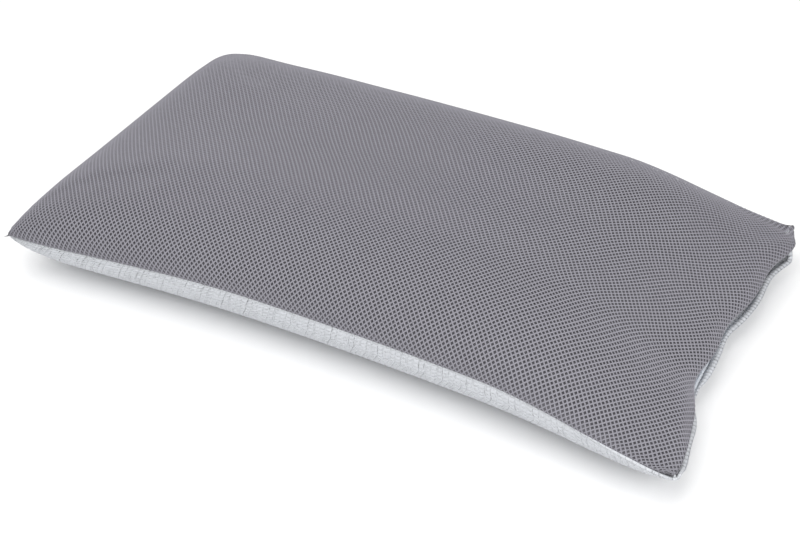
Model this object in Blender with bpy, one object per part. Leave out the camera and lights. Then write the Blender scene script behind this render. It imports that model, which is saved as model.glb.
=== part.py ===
"""Camp pillow: a foam core in a jersey liner, inside a zipped cover.

The cover's top is grey spacer mesh and its underside is white knit. They meet in a seam
round the two long sides and the closed end. The other end closes with a coil zip.
Metres, +Z up. The origin is on the floor under the middle, and +X points to the zip end.
"""

from math import copysign, radians

import bmesh
import bpy
from mathutils import Vector

# The filled cover
COVER_LENGTH = 0.600        # closed end to ear tips
COVER_WIDTH = 0.358         # across the corners
CROWN_HEIGHT = 0.093        # floor to the top of the crown
SIDE_WAIST = 0.018          # each long side is drawn in this far at its middle
END_HOLLOW = 0.018          # the zip end is drawn in this far between its ears
SEAM_CLOSED_END = 0.044     # height of the seam at the closed end
SEAM_MIDDLE = 0.054         # and at the middle of the long sides
SEAM_ZIP_END = 0.031        # and along the zip
SEAM_EAR = 0.037            # and at the ear tips

# How full each profile is: a higher power keeps it flat for longer before it turns down
WAIST_POWER = 2.2
EAR_POWER = 2.2
TOP_CLOSED_END_POWER = 10.0
TOP_ZIP_END_POWER = 2.6
TOP_SIDE_POWER = 5.0
TOP_ROUNDING = 0.54
TOP_ZIP_END_ROUNDING = 0.80
UNDER_CLOSED_END_POWER = 12.0
UNDER_ZIP_END_POWER = 6.0
UNDER_SIDE_POWER = 5.6
UNDER_ROUNDING = 0.52
REST_SHARE = 0.02           # the part of the underside's curve that the floor presses flat
SEAM_MIDDLE_FROM = 0.45     # along the zip half, where the seam begins to come down
SEAM_MIDDLE_TO = 0.2        # along the closed half, where it has risen to its middle height
CORNER_POWER = 14.0         # the closed end's corners in plan
CORNER_CUT = 0.010

# Layers
MESH_THICKNESS = 0.0030
KNIT_THICKNESS = 0.0015
LINER_THICKNESS = 0.0010
ALLOWANCE_THICKNESS = 0.0006
ALLOWANCE_HEIGHT = 0.0060
ALLOWANCE_LEAN = 0.0005     # its free edge stands this much further off the wall
ALLOWANCE_END = 0.94        # share of the half length where it runs into the ears' folds
PART_GAP = 0.0004           # between two pieces that touch
CROWN_EASE = 0.0010         # under the top panel
SEAM_GAP = 0.0003           # between the two panels' edges

# Foam core
SLACK_END = 0.062           # empty cover between the core and the ear tips
CORE_END_POWER = 7.0
CORE_END_ROUNDING = 0.5

# Zip, seen along the chain: the tapes stand upright and the coils face outwards
EAR_LENGTH = 0.039          # closed edge between a corner and the zip
TAPE_MARGIN = 0.0028        # tape in sight between the slider and each panel's edge
SLOT_RUNOUT = 0.012         # length over which the opening closes at each end
KNIT_SETBACK = 0.0055       # knit panel's edge behind the mesh panel's, which overhangs the zip
ZIP_RECESS = 0.0015         # tapes behind the knit panel's edge
TAPE_THICKNESS = 0.0006
TAPE_TAIL = 0.016           # tape past the end of each coil
COIL_DEPTH = 0.0018
COIL_HEIGHT = 0.0018
CHAIN_GAP = 0.0009          # between the two coils, where the slider's post passes
STOP_LENGTH = 0.0015
STITCH_WIDTH = 0.0005
STITCH_MARGIN = 0.0010      # from the tape's edge to the stitch line
SLIDER_LENGTH = 0.0090
SLIDER_PLATE = 0.0009
SLIDER_POST = 0.0004
RUNNING_GAP = 0.0003        # between the slider and what it slides on
BRIDGE_WIDTH = 0.0016
BRIDGE_BAR = 0.0008
BRIDGE_POST = 0.0008
BRIDGE_SPAN = 0.0060
PULL_LENGTH = 0.0220
PULL_WIDTH = 0.0060
PULL_THICKNESS = 0.0010
PULL_EYE = 0.0040           # from the pull's axis to the far side of its eye
PULL_GAP = 0.00035          # round the pull's bar under the bridge

# Care label, sewn in beside the zip and left blank
LABEL_WIDTH = 0.026
LABEL_LENGTH = 0.014
LABEL_THICKNESS = 0.0004
LABEL_FROM_ZIP_END = 0.030
LABEL_DROOP = 0.45          # fall over run

# Facets
HALF_LENGTH_STEPS = 12
HALF_WIDTH_STEPS = 8
END_CROWDING = 2.3          # stations crowd towards the edges, where the surface turns down
HALVINGS = 30               # steps to find a point under the cover

KNIT_END = COVER_LENGTH / 2 - END_HOLLOW - KNIT_SETBACK
CAVITY_END = KNIT_END - MESH_THICKNESS
CORE_END = COVER_LENGTH / 2 - SLACK_END
ZIP_HALF = COVER_WIDTH / 2 - EAR_LENGTH
CHAIN_HALF = ZIP_HALF - TAPE_TAIL
SLOT_HEIGHT = CHAIN_GAP + 2 * (COIL_HEIGHT + RUNNING_GAP + SLIDER_PLATE + TAPE_MARGIN)
LINER_INSET = max(KNIT_THICKNESS + 2 * PART_GAP + ALLOWANCE_THICKNESS + ALLOWANCE_LEAN,
                  MESH_THICKNESS + CROWN_EASE)

ZIP_TOP = SEAM_ZIP_END
ZIP_BOTTOM = SEAM_ZIP_END - SLOT_HEIGHT
CHAIN_Z = (ZIP_TOP + ZIP_BOTTOM) / 2
TAPE_OUTER = KNIT_END - ZIP_RECESS
TAPE_INNER = TAPE_OUTER - TAPE_THICKNESS
COIL_INNER = TAPE_OUTER + RUNNING_GAP
COIL_OUTER = COIL_INNER + COIL_DEPTH

MESH_GREY = (0.235, 0.232, 0.262)
KNIT_WHITE = (0.62, 0.65, 0.71)
FOAM_CREAM = (0.82, 0.78, 0.66)
JERSEY_WHITE = (0.80, 0.80, 0.79)
THREAD_WHITE = (0.72, 0.74, 0.78)
TAPE_WHITE = (0.70, 0.73, 0.78)
COIL_WHITE = (0.66, 0.69, 0.74)
SLIDER_NICKEL = (0.62, 0.62, 0.64)
LABEL_WHITE = (0.85, 0.85, 0.84)


# ---- scene and materials

def clear_scene():
    for obj in list(bpy.data.objects):
        bpy.data.objects.remove(obj, do_unlink=True)


def material(name, colour, roughness, metallic=0.0):
    found = bpy.data.materials.get(name)
    if found:
        return found
    made = bpy.data.materials.new(name)
    made.use_nodes = True
    shader = made.node_tree.nodes["Principled BSDF"]
    shader.inputs["Base Color"].default_value = (*colour, 1.0)
    shader.inputs["Roughness"].default_value = roughness
    shader.inputs["Metallic"].default_value = metallic
    return made


def add_object(name, mesh, look, parent=None, origin=(0.0, 0.0, 0.0)):
    mesh.materials.append(look)
    obj = bpy.data.objects.new(name, mesh)
    bpy.context.scene.collection.objects.link(obj)
    if parent:
        obj.parent = parent
    obj.location = origin
    return obj


def mesh_from(name, bm, smooth=True):
    bmesh.ops.recalc_face_normals(bm, faces=bm.faces)
    if bm.calc_volume(signed=True) < 0:
        bmesh.ops.reverse_faces(bm, faces=bm.faces)
    mesh = bpy.data.meshes.new(name)
    bm.to_mesh(mesh)
    bm.free()
    if smooth:
        mesh.shade_smooth()
        mesh.set_sharp_from_angle(angle=radians(50))
    return mesh


# ---- the pillow's form

def ease(t):
    t = min(max(t, 0.0), 1.0)
    return t * t * (3 - 2 * t)


def fall(t, power, rounding):
    """1 in the middle, and 0 at the edge, where it turns straight down."""
    return max(1 - abs(t) ** power, 0.0) ** rounding


def half_width(x):
    """Half the cover's width at x, drawn in at the waist."""
    along = min(abs(x) / (COVER_LENGTH / 2), 1.0)
    return COVER_WIDTH / 2 - SIDE_WAIST * (1 - along ** WAIST_POWER)


def slot_station(past):
    """The v of a point this far past the end of the zip's tapes."""
    return (ZIP_HALF + past) / (half_width(CAVITY_END) - MESH_THICKNESS)


SLOT_END = slot_station(PART_GAP)
SLOT_CLOSED = slot_station(PART_GAP + SLOT_RUNOUT)


def seam_height(u, v):
    """Height of the seam's surface: up to the middle, down to the zip, up to the ears."""
    if u < -SEAM_MIDDLE_TO:
        rise = ease((u + 1) / (1 - SEAM_MIDDLE_TO))
        return SEAM_CLOSED_END + (SEAM_MIDDLE - SEAM_CLOSED_END) * rise
    down = ease((u - SEAM_MIDDLE_FROM) / (1 - SEAM_MIDDLE_FROM))
    ear = ease((abs(v) - SLOT_CLOSED) / (1 - SLOT_CLOSED))
    end = SEAM_ZIP_END + (SEAM_EAR - SEAM_ZIP_END) * ear
    return SEAM_MIDDLE + (end - SEAM_MIDDLE) * down


def open_share(v):
    """1 along the zip, falling to 0 where its opening closes."""
    share = 1 - (abs(v) - SLOT_END) / (SLOT_CLOSED - SLOT_END)
    return min(max(share, 0.0), 1.0)


def lower_rim(u, v):
    """Upper edge of the knit panel, dropped along the zip to leave its opening."""
    drop = (SLOT_HEIGHT - SEAM_GAP) * open_share(v) * ease(4 * u - 3)
    return seam_height(u, v) - SEAM_GAP - drop


def ear_edge(v):
    """The zip end's outer edge, hollow between its ears."""
    return COVER_LENGTH / 2 - END_HOLLOW * (1 - abs(v) ** EAR_POWER)


def knit_edge(v):
    """The knit panel's edge, set back along the zip."""
    return ear_edge(v) - KNIT_SETBACK * open_share(v)


def zip_line(v):
    """The cavity's end, straight so that the zip is."""
    return CAVITY_END


class Form:
    """A surface inside the cover's. side, top and bottom say how far inside it lies.

    end gives the x where it stops at the zip end. A piece that stops short of the zip
    has a rounded end of its own there.
    """

    def __init__(self, side=0.0, top=0.0, bottom=0.0, end=ear_edge, stops_short=False):
        self.side = side
        self.top = top
        self.bottom = bottom
        self.end = end
        self.stops_short = stops_short

    def plan(self, u, v):
        reach = COVER_LENGTH / 2 - self.side
        x = u * reach
        if u > 0:
            x -= (reach - self.end(v)) * u ** 4
        y = v * (half_width(x) - self.side)
        if u < 0:
            corner = CORNER_CUT * abs(u * v) ** CORNER_POWER
            x += corner
            y -= copysign(corner, v)
        return x, y

    def over(self, u, v):
        """The cavity's u over this point, and how far the piece's own end has closed."""
        if u <= 0 or not self.stops_short:
            return u, 1.0
        x = self.plan(u, v)[0]
        cavity = Form(side=self.side, end=zip_line)
        low, high = 0.0, 1.0
        for _ in range(HALVINGS):
            middle = (low + high) / 2
            if cavity.plan(middle, v)[0] < x:
                low = middle
            else:
                high = middle
        return low, fall(u, CORE_END_POWER, CORE_END_ROUNDING)

    def upper(self, u, v, rim=None):
        x, y = self.plan(u, v)
        over, closing = self.over(u, v)
        if over > 0:
            end = fall(over, TOP_ZIP_END_POWER, TOP_ZIP_END_ROUNDING)
        else:
            end = fall(over, TOP_CLOSED_END_POWER, TOP_ROUNDING)
        side = fall(v, TOP_SIDE_POWER, TOP_ROUNDING)
        rise = CROWN_HEIGHT - SEAM_MIDDLE - self.top
        edge = (rim or seam_height)(over, v)
        return Vector((x, y, edge + rise * end * side * closing))

    def lower(self, u, v, rim=None):
        x, y = self.plan(u, v)
        over, closing = self.over(u, v)
        power = UNDER_ZIP_END_POWER if over > 0 else UNDER_CLOSED_END_POWER
        curve = fall(over, power, UNDER_ROUNDING) * fall(v, UNDER_SIDE_POWER, UNDER_ROUNDING)
        depth = min(curve / (1 - REST_SHARE), 1.0) * closing
        edge = (rim or seam_height)(over, v)
        return Vector((x, y, edge - (edge - self.bottom) * depth))


def stations(steps, extra=()):
    """Values from -1 to 1 that crowd towards the ends, and any extra ones."""
    half = [1 - (1 - i / steps) ** END_CROWDING for i in range(steps + 1)]
    half = [h for h in half if all(abs(h - e) > 0.02 for e in extra)] + list(extra)
    return sorted({-h for h in half} | set(half))


U_STATIONS = stations(HALF_LENGTH_STEPS)
V_STATIONS = stations(HALF_WIDTH_STEPS, extra=(SLOT_END, SLOT_CLOSED))


def grid(bm, surface):
    """A grid of vertices over a surface, as rows along u."""
    return [[bm.verts.new(surface(u, v)) for v in V_STATIONS] for u in U_STATIONS]


def fill_grid(bm, rows):
    for near, far in zip(rows, rows[1:]):
        for i in range(len(near) - 1):
            bm.faces.new((near[i], near[i + 1], far[i + 1], far[i]))


def border(rows):
    """The grid's edge vertices, in order round it."""
    return (rows[0][:-1] + [row[-1] for row in rows[:-1]]
            + rows[-1][:0:-1] + [row[0] for row in rows[:0:-1]])


def shell(name, look, outside, inside):
    """A panel between two surfaces, open where they meet the seam."""
    bm = bmesh.new()
    outer = grid(bm, outside)
    inner = grid(bm, inside)
    fill_grid(bm, outer)
    fill_grid(bm, inner)
    outer_edge, inner_edge = border(outer), border(inner)
    for i in range(len(outer_edge)):
        bm.faces.new((outer_edge[i - 1], outer_edge[i], inner_edge[i], inner_edge[i - 1]))
    return add_object(name, mesh_from(name, bm), look)


def block(bm, low, high):
    """An upright box between two corners."""
    made = bmesh.ops.create_cube(bm, size=1.0)["verts"]
    low, high = Vector(low), Vector(high)
    size = high - low
    bmesh.ops.scale(bm, vec=size, verts=made)
    bmesh.ops.translate(bm, vec=(low + high) / 2, verts=made)
    return made


def box_object(name, look, low, high, soften=0.0):
    """A box, with its edges softened if a radius is given."""
    bm = bmesh.new()
    block(bm, low, high)
    if soften:
        bmesh.ops.bevel(bm, geom=bm.edges[:], offset=soften, segments=1, affect="EDGES")
    return add_object(name, mesh_from(name, bm, smooth=False), look)


# ---- foam and liner

def build_core():
    inset = LINER_INSET + LINER_THICKNESS + PART_GAP
    foam = Form(side=inset,
                top=MESH_THICKNESS + CROWN_EASE + LINER_THICKNESS + PART_GAP,
                bottom=KNIT_THICKNESS + LINER_THICKNESS + 2 * PART_GAP,
                end=lambda v: CORE_END, stops_short=True)
    bm = bmesh.new()
    top = grid(bm, foam.upper)
    under = grid(bm, foam.lower)
    fill_grid(bm, top)
    fill_grid(bm, under)
    bmesh.ops.remove_doubles(bm, verts=border(top) + border(under), dist=1e-6)
    add_object("foam_core", mesh_from("foam_core", bm), material("foam", FOAM_CREAM, 0.95))


def liner_form(inwards):
    """The liner's outer surface, or its inner one a cloth's thickness inwards."""
    return Form(side=LINER_INSET + inwards,
                top=MESH_THICKNESS + CROWN_EASE + inwards,
                bottom=KNIT_THICKNESS + PART_GAP + inwards,
                end=lambda v: CORE_END + PART_GAP + LINER_THICKNESS - inwards,
                stops_short=True)


def build_liner():
    outside, inside = liner_form(0.0), liner_form(LINER_THICKNESS)
    jersey = material("jersey", JERSEY_WHITE, 0.9)

    def above_seam(u, v):
        return seam_height(u, v) + SEAM_GAP / 2

    def below_seam(u, v):
        return seam_height(u, v) - SEAM_GAP / 2

    shell("liner_upper", jersey,
          lambda u, v: outside.upper(u, v, above_seam),
          lambda u, v: inside.upper(u, v, above_seam))
    shell("liner_lower", jersey,
          lambda u, v: outside.lower(u, v, below_seam),
          lambda u, v: inside.lower(u, v, below_seam))


# ---- cover

def build_cover():
    cover = Form()
    underside = Form(end=knit_edge)
    under_mesh = Form(side=MESH_THICKNESS, top=MESH_THICKNESS, end=zip_line)
    over_knit = Form(side=KNIT_THICKNESS, bottom=KNIT_THICKNESS, end=zip_line)
    shell("mesh_top_panel", material("spacer_mesh", MESH_GREY, 0.85),
          cover.upper, under_mesh.upper)
    shell("knit_bottom_panel", material("knit", KNIT_WHITE, 0.8),
          lambda u, v: underside.lower(u, v, lower_rim),
          lambda u, v: over_knit.lower(u, v, lower_rim))


def down_wall(form, u, v, drop):
    """The point of the knit's wall this far below its edge at u, v."""
    edge = form.lower(u, v)
    low, high = 0.8, 1.0
    for _ in range(HALVINGS):
        middle = (low + high) / 2
        if form.lower(u * middle, v * middle).z < edge.z - drop:
            low = middle
        else:
            high = middle
    return form.lower(u * high, v * high)


def build_side_seam():
    """The allowance and its overlock, a ribbon down the knit's wall on three sides."""
    def wall(inset):
        return Form(side=inset, bottom=inset, end=zip_line)

    inset = KNIT_THICKNESS + PART_GAP
    sewn_outer, sewn_inner = wall(inset), wall(inset + ALLOWANCE_THICKNESS)
    inset += ALLOWANCE_LEAN
    free_outer, free_inner = wall(inset), wall(inset + ALLOWANCE_THICKNESS)
    reach = [u for u in U_STATIONS if u < ALLOWANCE_END]
    route = [(u, -1.0) for u in reversed(reach)]
    route += [(-1.0, v) for v in V_STATIONS[1:-1]]
    route += [(u, 1.0) for u in reach]
    lowered = Vector((0, 0, SEAM_GAP + PART_GAP))
    bm = bmesh.new()
    rings = []
    for u, v in route:
        ring = [sewn_outer.lower(u, v), sewn_inner.lower(u, v),
                down_wall(free_inner, u, v, ALLOWANCE_HEIGHT),
                down_wall(free_outer, u, v, ALLOWANCE_HEIGHT)]
        rings.append([bm.verts.new(point - lowered) for point in ring])
    for near, far in zip(rings, rings[1:]):
        for i in range(4):
            bm.faces.new((near[i - 1], near[i], far[i], far[i - 1]))
    bm.faces.new(rings[0])
    bm.faces.new(rings[-1])
    add_object("side_seam_overlock", mesh_from("side_seam_overlock", bm, smooth=False),
               material("thread", THREAD_WHITE, 0.7))


# ---- zip

def upright_sheet(name, look, outline, inner_x, outer_x):
    """A flat piece standing in the zip's plane, from its outline of y and z."""
    bm = bmesh.new()
    near = bm.faces.new([bm.verts.new((inner_x, y, z)) for y, z in outline])
    pushed = bmesh.ops.extrude_face_region(bm, geom=[near])["geom"]
    moved = [item for item in pushed if isinstance(item, bmesh.types.BMVert)]
    bmesh.ops.translate(bm, vec=(outer_x - inner_x, 0, 0), verts=moved)
    return add_object(name, mesh_from(name, bm, smooth=False), look)


def build_tapes():
    """Two tapes fill the opening, and their tails taper where it closes."""
    look = material("zip_tape", TAPE_WHITE, 0.8)
    top = ZIP_TOP - PART_GAP
    bottom = ZIP_BOTTOM + PART_GAP
    upper_edge = CHAIN_Z + CHAIN_GAP / 2
    lower_edge = CHAIN_Z - CHAIN_GAP / 2
    slope = SLOT_RUNOUT / SLOT_HEIGHT

    def tail(z):
        """Where a tape ends at this height, beside the closing edge of the knit."""
        return ZIP_HALF + max(z - bottom, 0.0) * slope

    upper = [(-tail(upper_edge), upper_edge), (tail(upper_edge), upper_edge),
             (tail(top - PART_GAP), top), (-tail(top - PART_GAP), top)]
    lower = [(-tail(bottom), bottom), (tail(bottom), bottom),
             (tail(lower_edge), lower_edge), (-tail(lower_edge), lower_edge)]
    upright_sheet("zip_tape_upper", look, upper, TAPE_INNER, TAPE_OUTER)
    upright_sheet("zip_tape_lower", look, lower, TAPE_INNER, TAPE_OUTER)


def side_of_chain(side, near, far):
    """Low and high z at these distances from the chain's middle, above or below it."""
    return sorted((CHAIN_Z + side * near, CHAIN_Z + side * far))


def build_chain():
    coil = material("zip_coil", COIL_WHITE, 0.45)
    thread = material("thread", THREAD_WHITE, 0.7)
    near = CHAIN_GAP / 2
    stitch_from = SLOT_HEIGHT / 2 - PART_GAP - STITCH_MARGIN
    stop_from = CHAIN_HALF + RUNNING_GAP
    for side, word in ((1, "upper"), (-1, "lower")):
        low, high = side_of_chain(side, near, near + COIL_HEIGHT)
        box_object(f"zip_coil_{word}", coil, (COIL_INNER, -CHAIN_HALF, low),
                   (COIL_OUTER, CHAIN_HALF, high), soften=COIL_HEIGHT / 4)
        box_object(f"zip_top_stop_{word}", coil, (COIL_INNER, stop_from, low),
                   (COIL_OUTER, stop_from + STOP_LENGTH, high))
        low, high = side_of_chain(side, stitch_from - STITCH_WIDTH, stitch_from)
        box_object(f"zip_stitching_{word}", thread, (COIL_INNER, -ZIP_HALF, low),
                   (COIL_INNER + STITCH_WIDTH, ZIP_HALF, high))
    low, high = side_of_chain(-1, near + COIL_HEIGHT, -near - COIL_HEIGHT)
    box_object("zip_bottom_stop", coil, (COIL_INNER, -stop_from - STOP_LENGTH, low),
               (COIL_OUTER, -stop_from, high))


def build_slider():
    """Slider and pull, closed against the top stops at the back end."""
    nickel = material("zip_nickel", SLIDER_NICKEL, 0.35, 1.0)
    park = bpy.data.objects.new("slider_park", None)
    bpy.context.scene.collection.objects.link(park)
    park.location = (TAPE_OUTER, CHAIN_HALF - SLIDER_LENGTH / 2, CHAIN_Z)

    # Measured from the tape's outer face, x outwards
    half_length = SLIDER_LENGTH / 2
    half_height = CHAIN_GAP / 2 + COIL_HEIGHT + RUNNING_GAP + SLIDER_PLATE
    plate_in = COIL_OUTER - TAPE_OUTER + RUNNING_GAP
    plate_out = plate_in + SLIDER_PLATE
    back_out = -TAPE_THICKNESS - RUNNING_GAP
    back_in = back_out - SLIDER_PLATE
    bar_height = PULL_THICKNESS + 2 * PULL_GAP
    bridge_out = plate_out + bar_height + BRIDGE_BAR

    bm = bmesh.new()
    block(bm, (plate_in, -half_length, -half_height), (plate_out, half_length, half_height))
    mesh = mesh_from("zip_slider", bm, smooth=False)
    slider = add_object("zip_slider", mesh, nickel, parent=park)
    more = [((back_in, -half_length, -half_height), (back_out, half_length, half_height)),
            ((back_out - SLIDER_PLATE / 2, -half_length / 2, -SLIDER_POST / 2),
             (plate_in + SLIDER_PLATE / 2, half_length, SLIDER_POST / 2)),
            ((RUNNING_GAP, -half_length, half_height - SLIDER_PLATE),
             (plate_in + SLIDER_PLATE / 2, half_length, half_height)),
            ((RUNNING_GAP, -half_length, -half_height),
             (plate_in + SLIDER_PLATE / 2, half_length, SLIDER_PLATE - half_height)),
            ((plate_out - SLIDER_PLATE / 2, -BRIDGE_SPAN / 2, -BRIDGE_WIDTH / 2),
             (bridge_out, -BRIDGE_SPAN / 2 + BRIDGE_POST, BRIDGE_WIDTH / 2)),
            ((plate_out - SLIDER_PLATE / 2, BRIDGE_SPAN / 2 - BRIDGE_POST, -BRIDGE_WIDTH / 2),
             (bridge_out, BRIDGE_SPAN / 2, BRIDGE_WIDTH / 2)),
            ((bridge_out - BRIDGE_BAR, -BRIDGE_SPAN / 2, -BRIDGE_WIDTH / 2),
             (bridge_out, BRIDGE_SPAN / 2, BRIDGE_WIDTH / 2))]
    for low, high in more:
        join_block(slider, low, high, park)

    # The pull turns about its bar, which passes under the bridge
    pin = bpy.data.objects.new("pull_pin", None)
    bpy.context.scene.collection.objects.link(pin)
    pin.parent = park
    pin.location = (plate_out + PULL_GAP + PULL_THICKNESS / 2, 0, 0)
    half_bar = PULL_THICKNESS / 2
    bm = bmesh.new()
    block(bm, (-half_bar, -PULL_LENGTH, -PULL_WIDTH / 2), (half_bar, half_bar, PULL_WIDTH / 2))
    long_edges = [e for e in bm.edges if abs(e.verts[0].co.x - e.verts[1].co.x) > half_bar]
    far_edges = [e for e in long_edges if e.verts[0].co.y < -half_bar]
    bmesh.ops.bevel(bm, geom=far_edges, offset=PULL_WIDTH / 3, segments=4, affect="EDGES")
    mesh = mesh_from("zip_pull", bm, smooth=False)
    pull = add_object("zip_pull", mesh, nickel, parent=pin)
    eye_half = BRIDGE_WIDTH / 2 + PULL_GAP
    cut_block(pull, (-PULL_THICKNESS, -PULL_EYE, -eye_half),
              (PULL_THICKNESS, -half_bar, eye_half), pin)


def hidden_block(name, low, high, parent):
    """A box that only shapes another piece."""
    bm = bmesh.new()
    block(bm, low, high)
    mesh = mesh_from(name, bm, smooth=False)
    guide = bpy.data.objects.new(name, mesh)
    bpy.context.scene.collection.objects.link(guide)
    guide.parent = parent
    guide.hide_render = True
    guide.display_type = "WIRE"
    return guide


def join_block(obj, low, high, parent):
    add_boolean(obj, "UNION", hidden_block(f"{obj.name}_block", low, high, parent))


def cut_block(obj, low, high, parent):
    add_boolean(obj, "DIFFERENCE", hidden_block(f"{obj.name}_cut", low, high, parent))


def add_boolean(obj, operation, other):
    modifier = obj.modifiers.new(other.name, "BOOLEAN")
    modifier.operation = operation
    modifier.object = other
    modifier.solver = "EXACT"


def build_label():
    """A blank label that hangs from the seam allowance into the slack end."""
    top_x = CAVITY_END - PART_GAP
    top_z = ZIP_TOP
    far_x = top_x - LABEL_LENGTH
    fall_z = LABEL_LENGTH * LABEL_DROOP
    high_y = CHAIN_HALF - LABEL_FROM_ZIP_END
    low_y = high_y - LABEL_WIDTH
    section = [(top_x, top_z), (far_x, top_z - fall_z),
               (far_x, top_z - fall_z - LABEL_THICKNESS), (top_x, top_z - LABEL_THICKNESS)]
    bm = bmesh.new()
    side = bm.faces.new([bm.verts.new((x, low_y, z)) for x, z in section])
    pushed = bmesh.ops.extrude_face_region(bm, geom=[side])["geom"]
    moved = [item for item in pushed if isinstance(item, bmesh.types.BMVert)]
    bmesh.ops.translate(bm, vec=(0, high_y - low_y, 0), verts=moved)
    add_object("care_label", mesh_from("care_label", bm, smooth=False),
               material("label", LABEL_WHITE, 0.6))


clear_scene()
build_core()
build_liner()
build_cover()
build_side_seam()
build_tapes()
build_chain()
build_slider()
build_label()
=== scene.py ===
import math

import bmesh
import bpy
import numpy as np
from mathutils import Matrix, Vector


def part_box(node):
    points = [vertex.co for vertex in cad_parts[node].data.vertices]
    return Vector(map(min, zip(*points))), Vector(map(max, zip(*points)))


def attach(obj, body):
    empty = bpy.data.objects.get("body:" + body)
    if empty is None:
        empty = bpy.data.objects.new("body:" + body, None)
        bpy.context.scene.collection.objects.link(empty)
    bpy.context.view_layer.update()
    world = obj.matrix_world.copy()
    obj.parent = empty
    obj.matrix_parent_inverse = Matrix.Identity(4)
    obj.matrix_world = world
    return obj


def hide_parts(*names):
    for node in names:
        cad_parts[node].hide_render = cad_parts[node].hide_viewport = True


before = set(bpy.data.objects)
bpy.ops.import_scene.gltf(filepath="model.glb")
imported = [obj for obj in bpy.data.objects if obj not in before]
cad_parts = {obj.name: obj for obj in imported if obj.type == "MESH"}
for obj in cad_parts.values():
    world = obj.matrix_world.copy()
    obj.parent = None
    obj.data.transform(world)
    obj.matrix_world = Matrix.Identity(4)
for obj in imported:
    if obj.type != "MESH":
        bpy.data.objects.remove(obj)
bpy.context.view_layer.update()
print("camp pillow: the packed frame is loaded")

# Metres throughout, +X towards the zip end and +Z up, as in the frame.
tapeLow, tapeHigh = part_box("zip_tape_upper")
panelHigh, stitchHigh, coilHigh, coreHigh = (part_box(node)[1] for node in (
    "mesh_top_panel", "zip_stitching_upper", "zip_coil_upper", "foam_core"))

form = {
    "halfLength": panelHigh.x,
    "halfWidth": panelHigh.y,
    "crown": panelHigh.z,
    "waist": 0.018,             # each long side is drawn in this far at its middle
    "endHollow": 0.018,         # and the zip end between its ears
    "waistPower": 2.2,
    "earPower": 2.2,
    "endPower": 4,              # the hollow reaches in further with a lower power
    "cornerCut": 0.0035,        # closed end's corners in plan
    "cornerPower": 18,
    "earCut": {                 # and the ears' tips, front and back
        "mesh": (0.0048, 0.0095),
        "knit": (0.0062, 0.0112),
    },
    "earCutPower": 14,
    "seamClosedEnd": 0.044,     # heights of the seam
    "seamMiddle": 0.054,
    "seamZipEnd": 0.031,
    "seamEar": 0.037,
    "risesTo": 0.2,             # stations of u, either side of the middle
    "fallsFrom": 0.45,
    "seamGap": 0.0003,
    "meshThickness": 0.0030,
    "restShare": 0.02,          # the floor presses this much of the underside flat
}
# (power, rounding) of each profile: a higher power stays flat for longer
topProfile = {"closedEnd": (10.0, 0.54), "zipEnd": (2.6, 0.80), "side": (5.0, 0.54)}
underProfile = {"closedEnd": (12.0, 0.52), "zipEnd": (6.0, 0.52), "side": (5.6, 0.52)}

zipFastener = {
    "tapeHalf": stitchHigh.y,
    "tapeOuter": tapeHigh.x,
    "tapeInner": tapeLow.x,
    "openingHeight": 0.0125,
    "rimDrop": 0.0108,          # from the mesh edge down to the knit's
    "dropsFrom": 0.75,          # which it reaches from this station of u
    "closesFrom": 0.805,        # over these stations of v the opening closes at each end
    "closedAt": 0.930,
    "joinsOver": 0.010,         # past the tapes' ends the two rims' cloth meets
    "joinPace": 4,              # how soon the turned-in cloth reaches the tape
    "tuckedIn": 0.0045,
    "setback": 0.0055,          # knit edge behind the mesh edge
    "clearance": 0.0002,
}
knitEnd = form["halfLength"] - form["endHollow"] - zipFastener["setback"]
cavityEnd = knitEnd - form["meshThickness"]


# The pillow's form, over u and v from -1 to 1.

def ease(t):
    t = np.clip(t, 0.0, 1.0)
    return t * t * (3 - 2 * t)


def bump(t):
    # A round hill, 1 at t = 0.
    return np.exp(-t * t)


def fall(t, profile):
    power, rounding = profile
    return np.maximum(1 - np.abs(t) ** power, 0.0) ** rounding


def sideOf(x):
    along = np.minimum(np.abs(x) / form["halfLength"], 1.0)
    return form["halfWidth"] - form["waist"] * (1 - along ** form["waistPower"])


def seamHeight(u, v):
    rise = ease((u + 1) / (1 - form["risesTo"]))
    closedHalf = form["seamClosedEnd"] + (form["seamMiddle"] - form["seamClosedEnd"]) * rise
    down = ease((u - form["fallsFrom"]) / (1 - form["fallsFrom"]))
    ear = ease((np.abs(v) - zipFastener["closedAt"]) / (1 - zipFastener["closedAt"]))
    end = form["seamZipEnd"] + (form["seamEar"] - form["seamZipEnd"]) * ear
    zipHalf = form["seamMiddle"] + (end - form["seamMiddle"]) * down
    return np.where(u < -form["risesTo"], closedHalf, zipHalf)


def openShare(v):
    length = zipFastener["closedAt"] - zipFastener["closesFrom"]
    return 1 - ease((np.abs(v) - zipFastener["closesFrom"]) / length)


def earEdge(v):
    return form["halfLength"] - form["endHollow"] * (1 - np.abs(v) ** form["earPower"])


def planOf(u, v, inset, endX, earCut=(0.0, 0.0)):
    reach = form["halfLength"] - inset
    x = u * reach - np.where(u > 0, (reach - endX) * np.abs(u) ** form["endPower"], 0.0)
    y = v * (sideOf(x) - inset)
    closedCorner = form["cornerCut"] * np.abs(u * v) ** form["cornerPower"]
    ear = np.where(v < 0, *earCut) * np.abs(u * v) ** form["earCutPower"]
    corner = np.where(u < 0, closedCorner, ear)
    return x - np.sign(u) * corner, y - np.sign(v) * corner


def endFall(u, profile):
    return np.where(u > 0, fall(u, profile["zipEnd"]), fall(u, profile["closedEnd"]))


def topForm(u, v, inset=0.0):
    x, y = planOf(u, v, inset, earEdge(v) - inset, form["earCut"]["mesh"])
    rise = form["crown"] - form["seamMiddle"] - inset
    z = seamHeight(u, v) + rise * endFall(u, topProfile) * fall(v, topProfile["side"])
    return np.stack((x, y, z), axis=-1)


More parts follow.
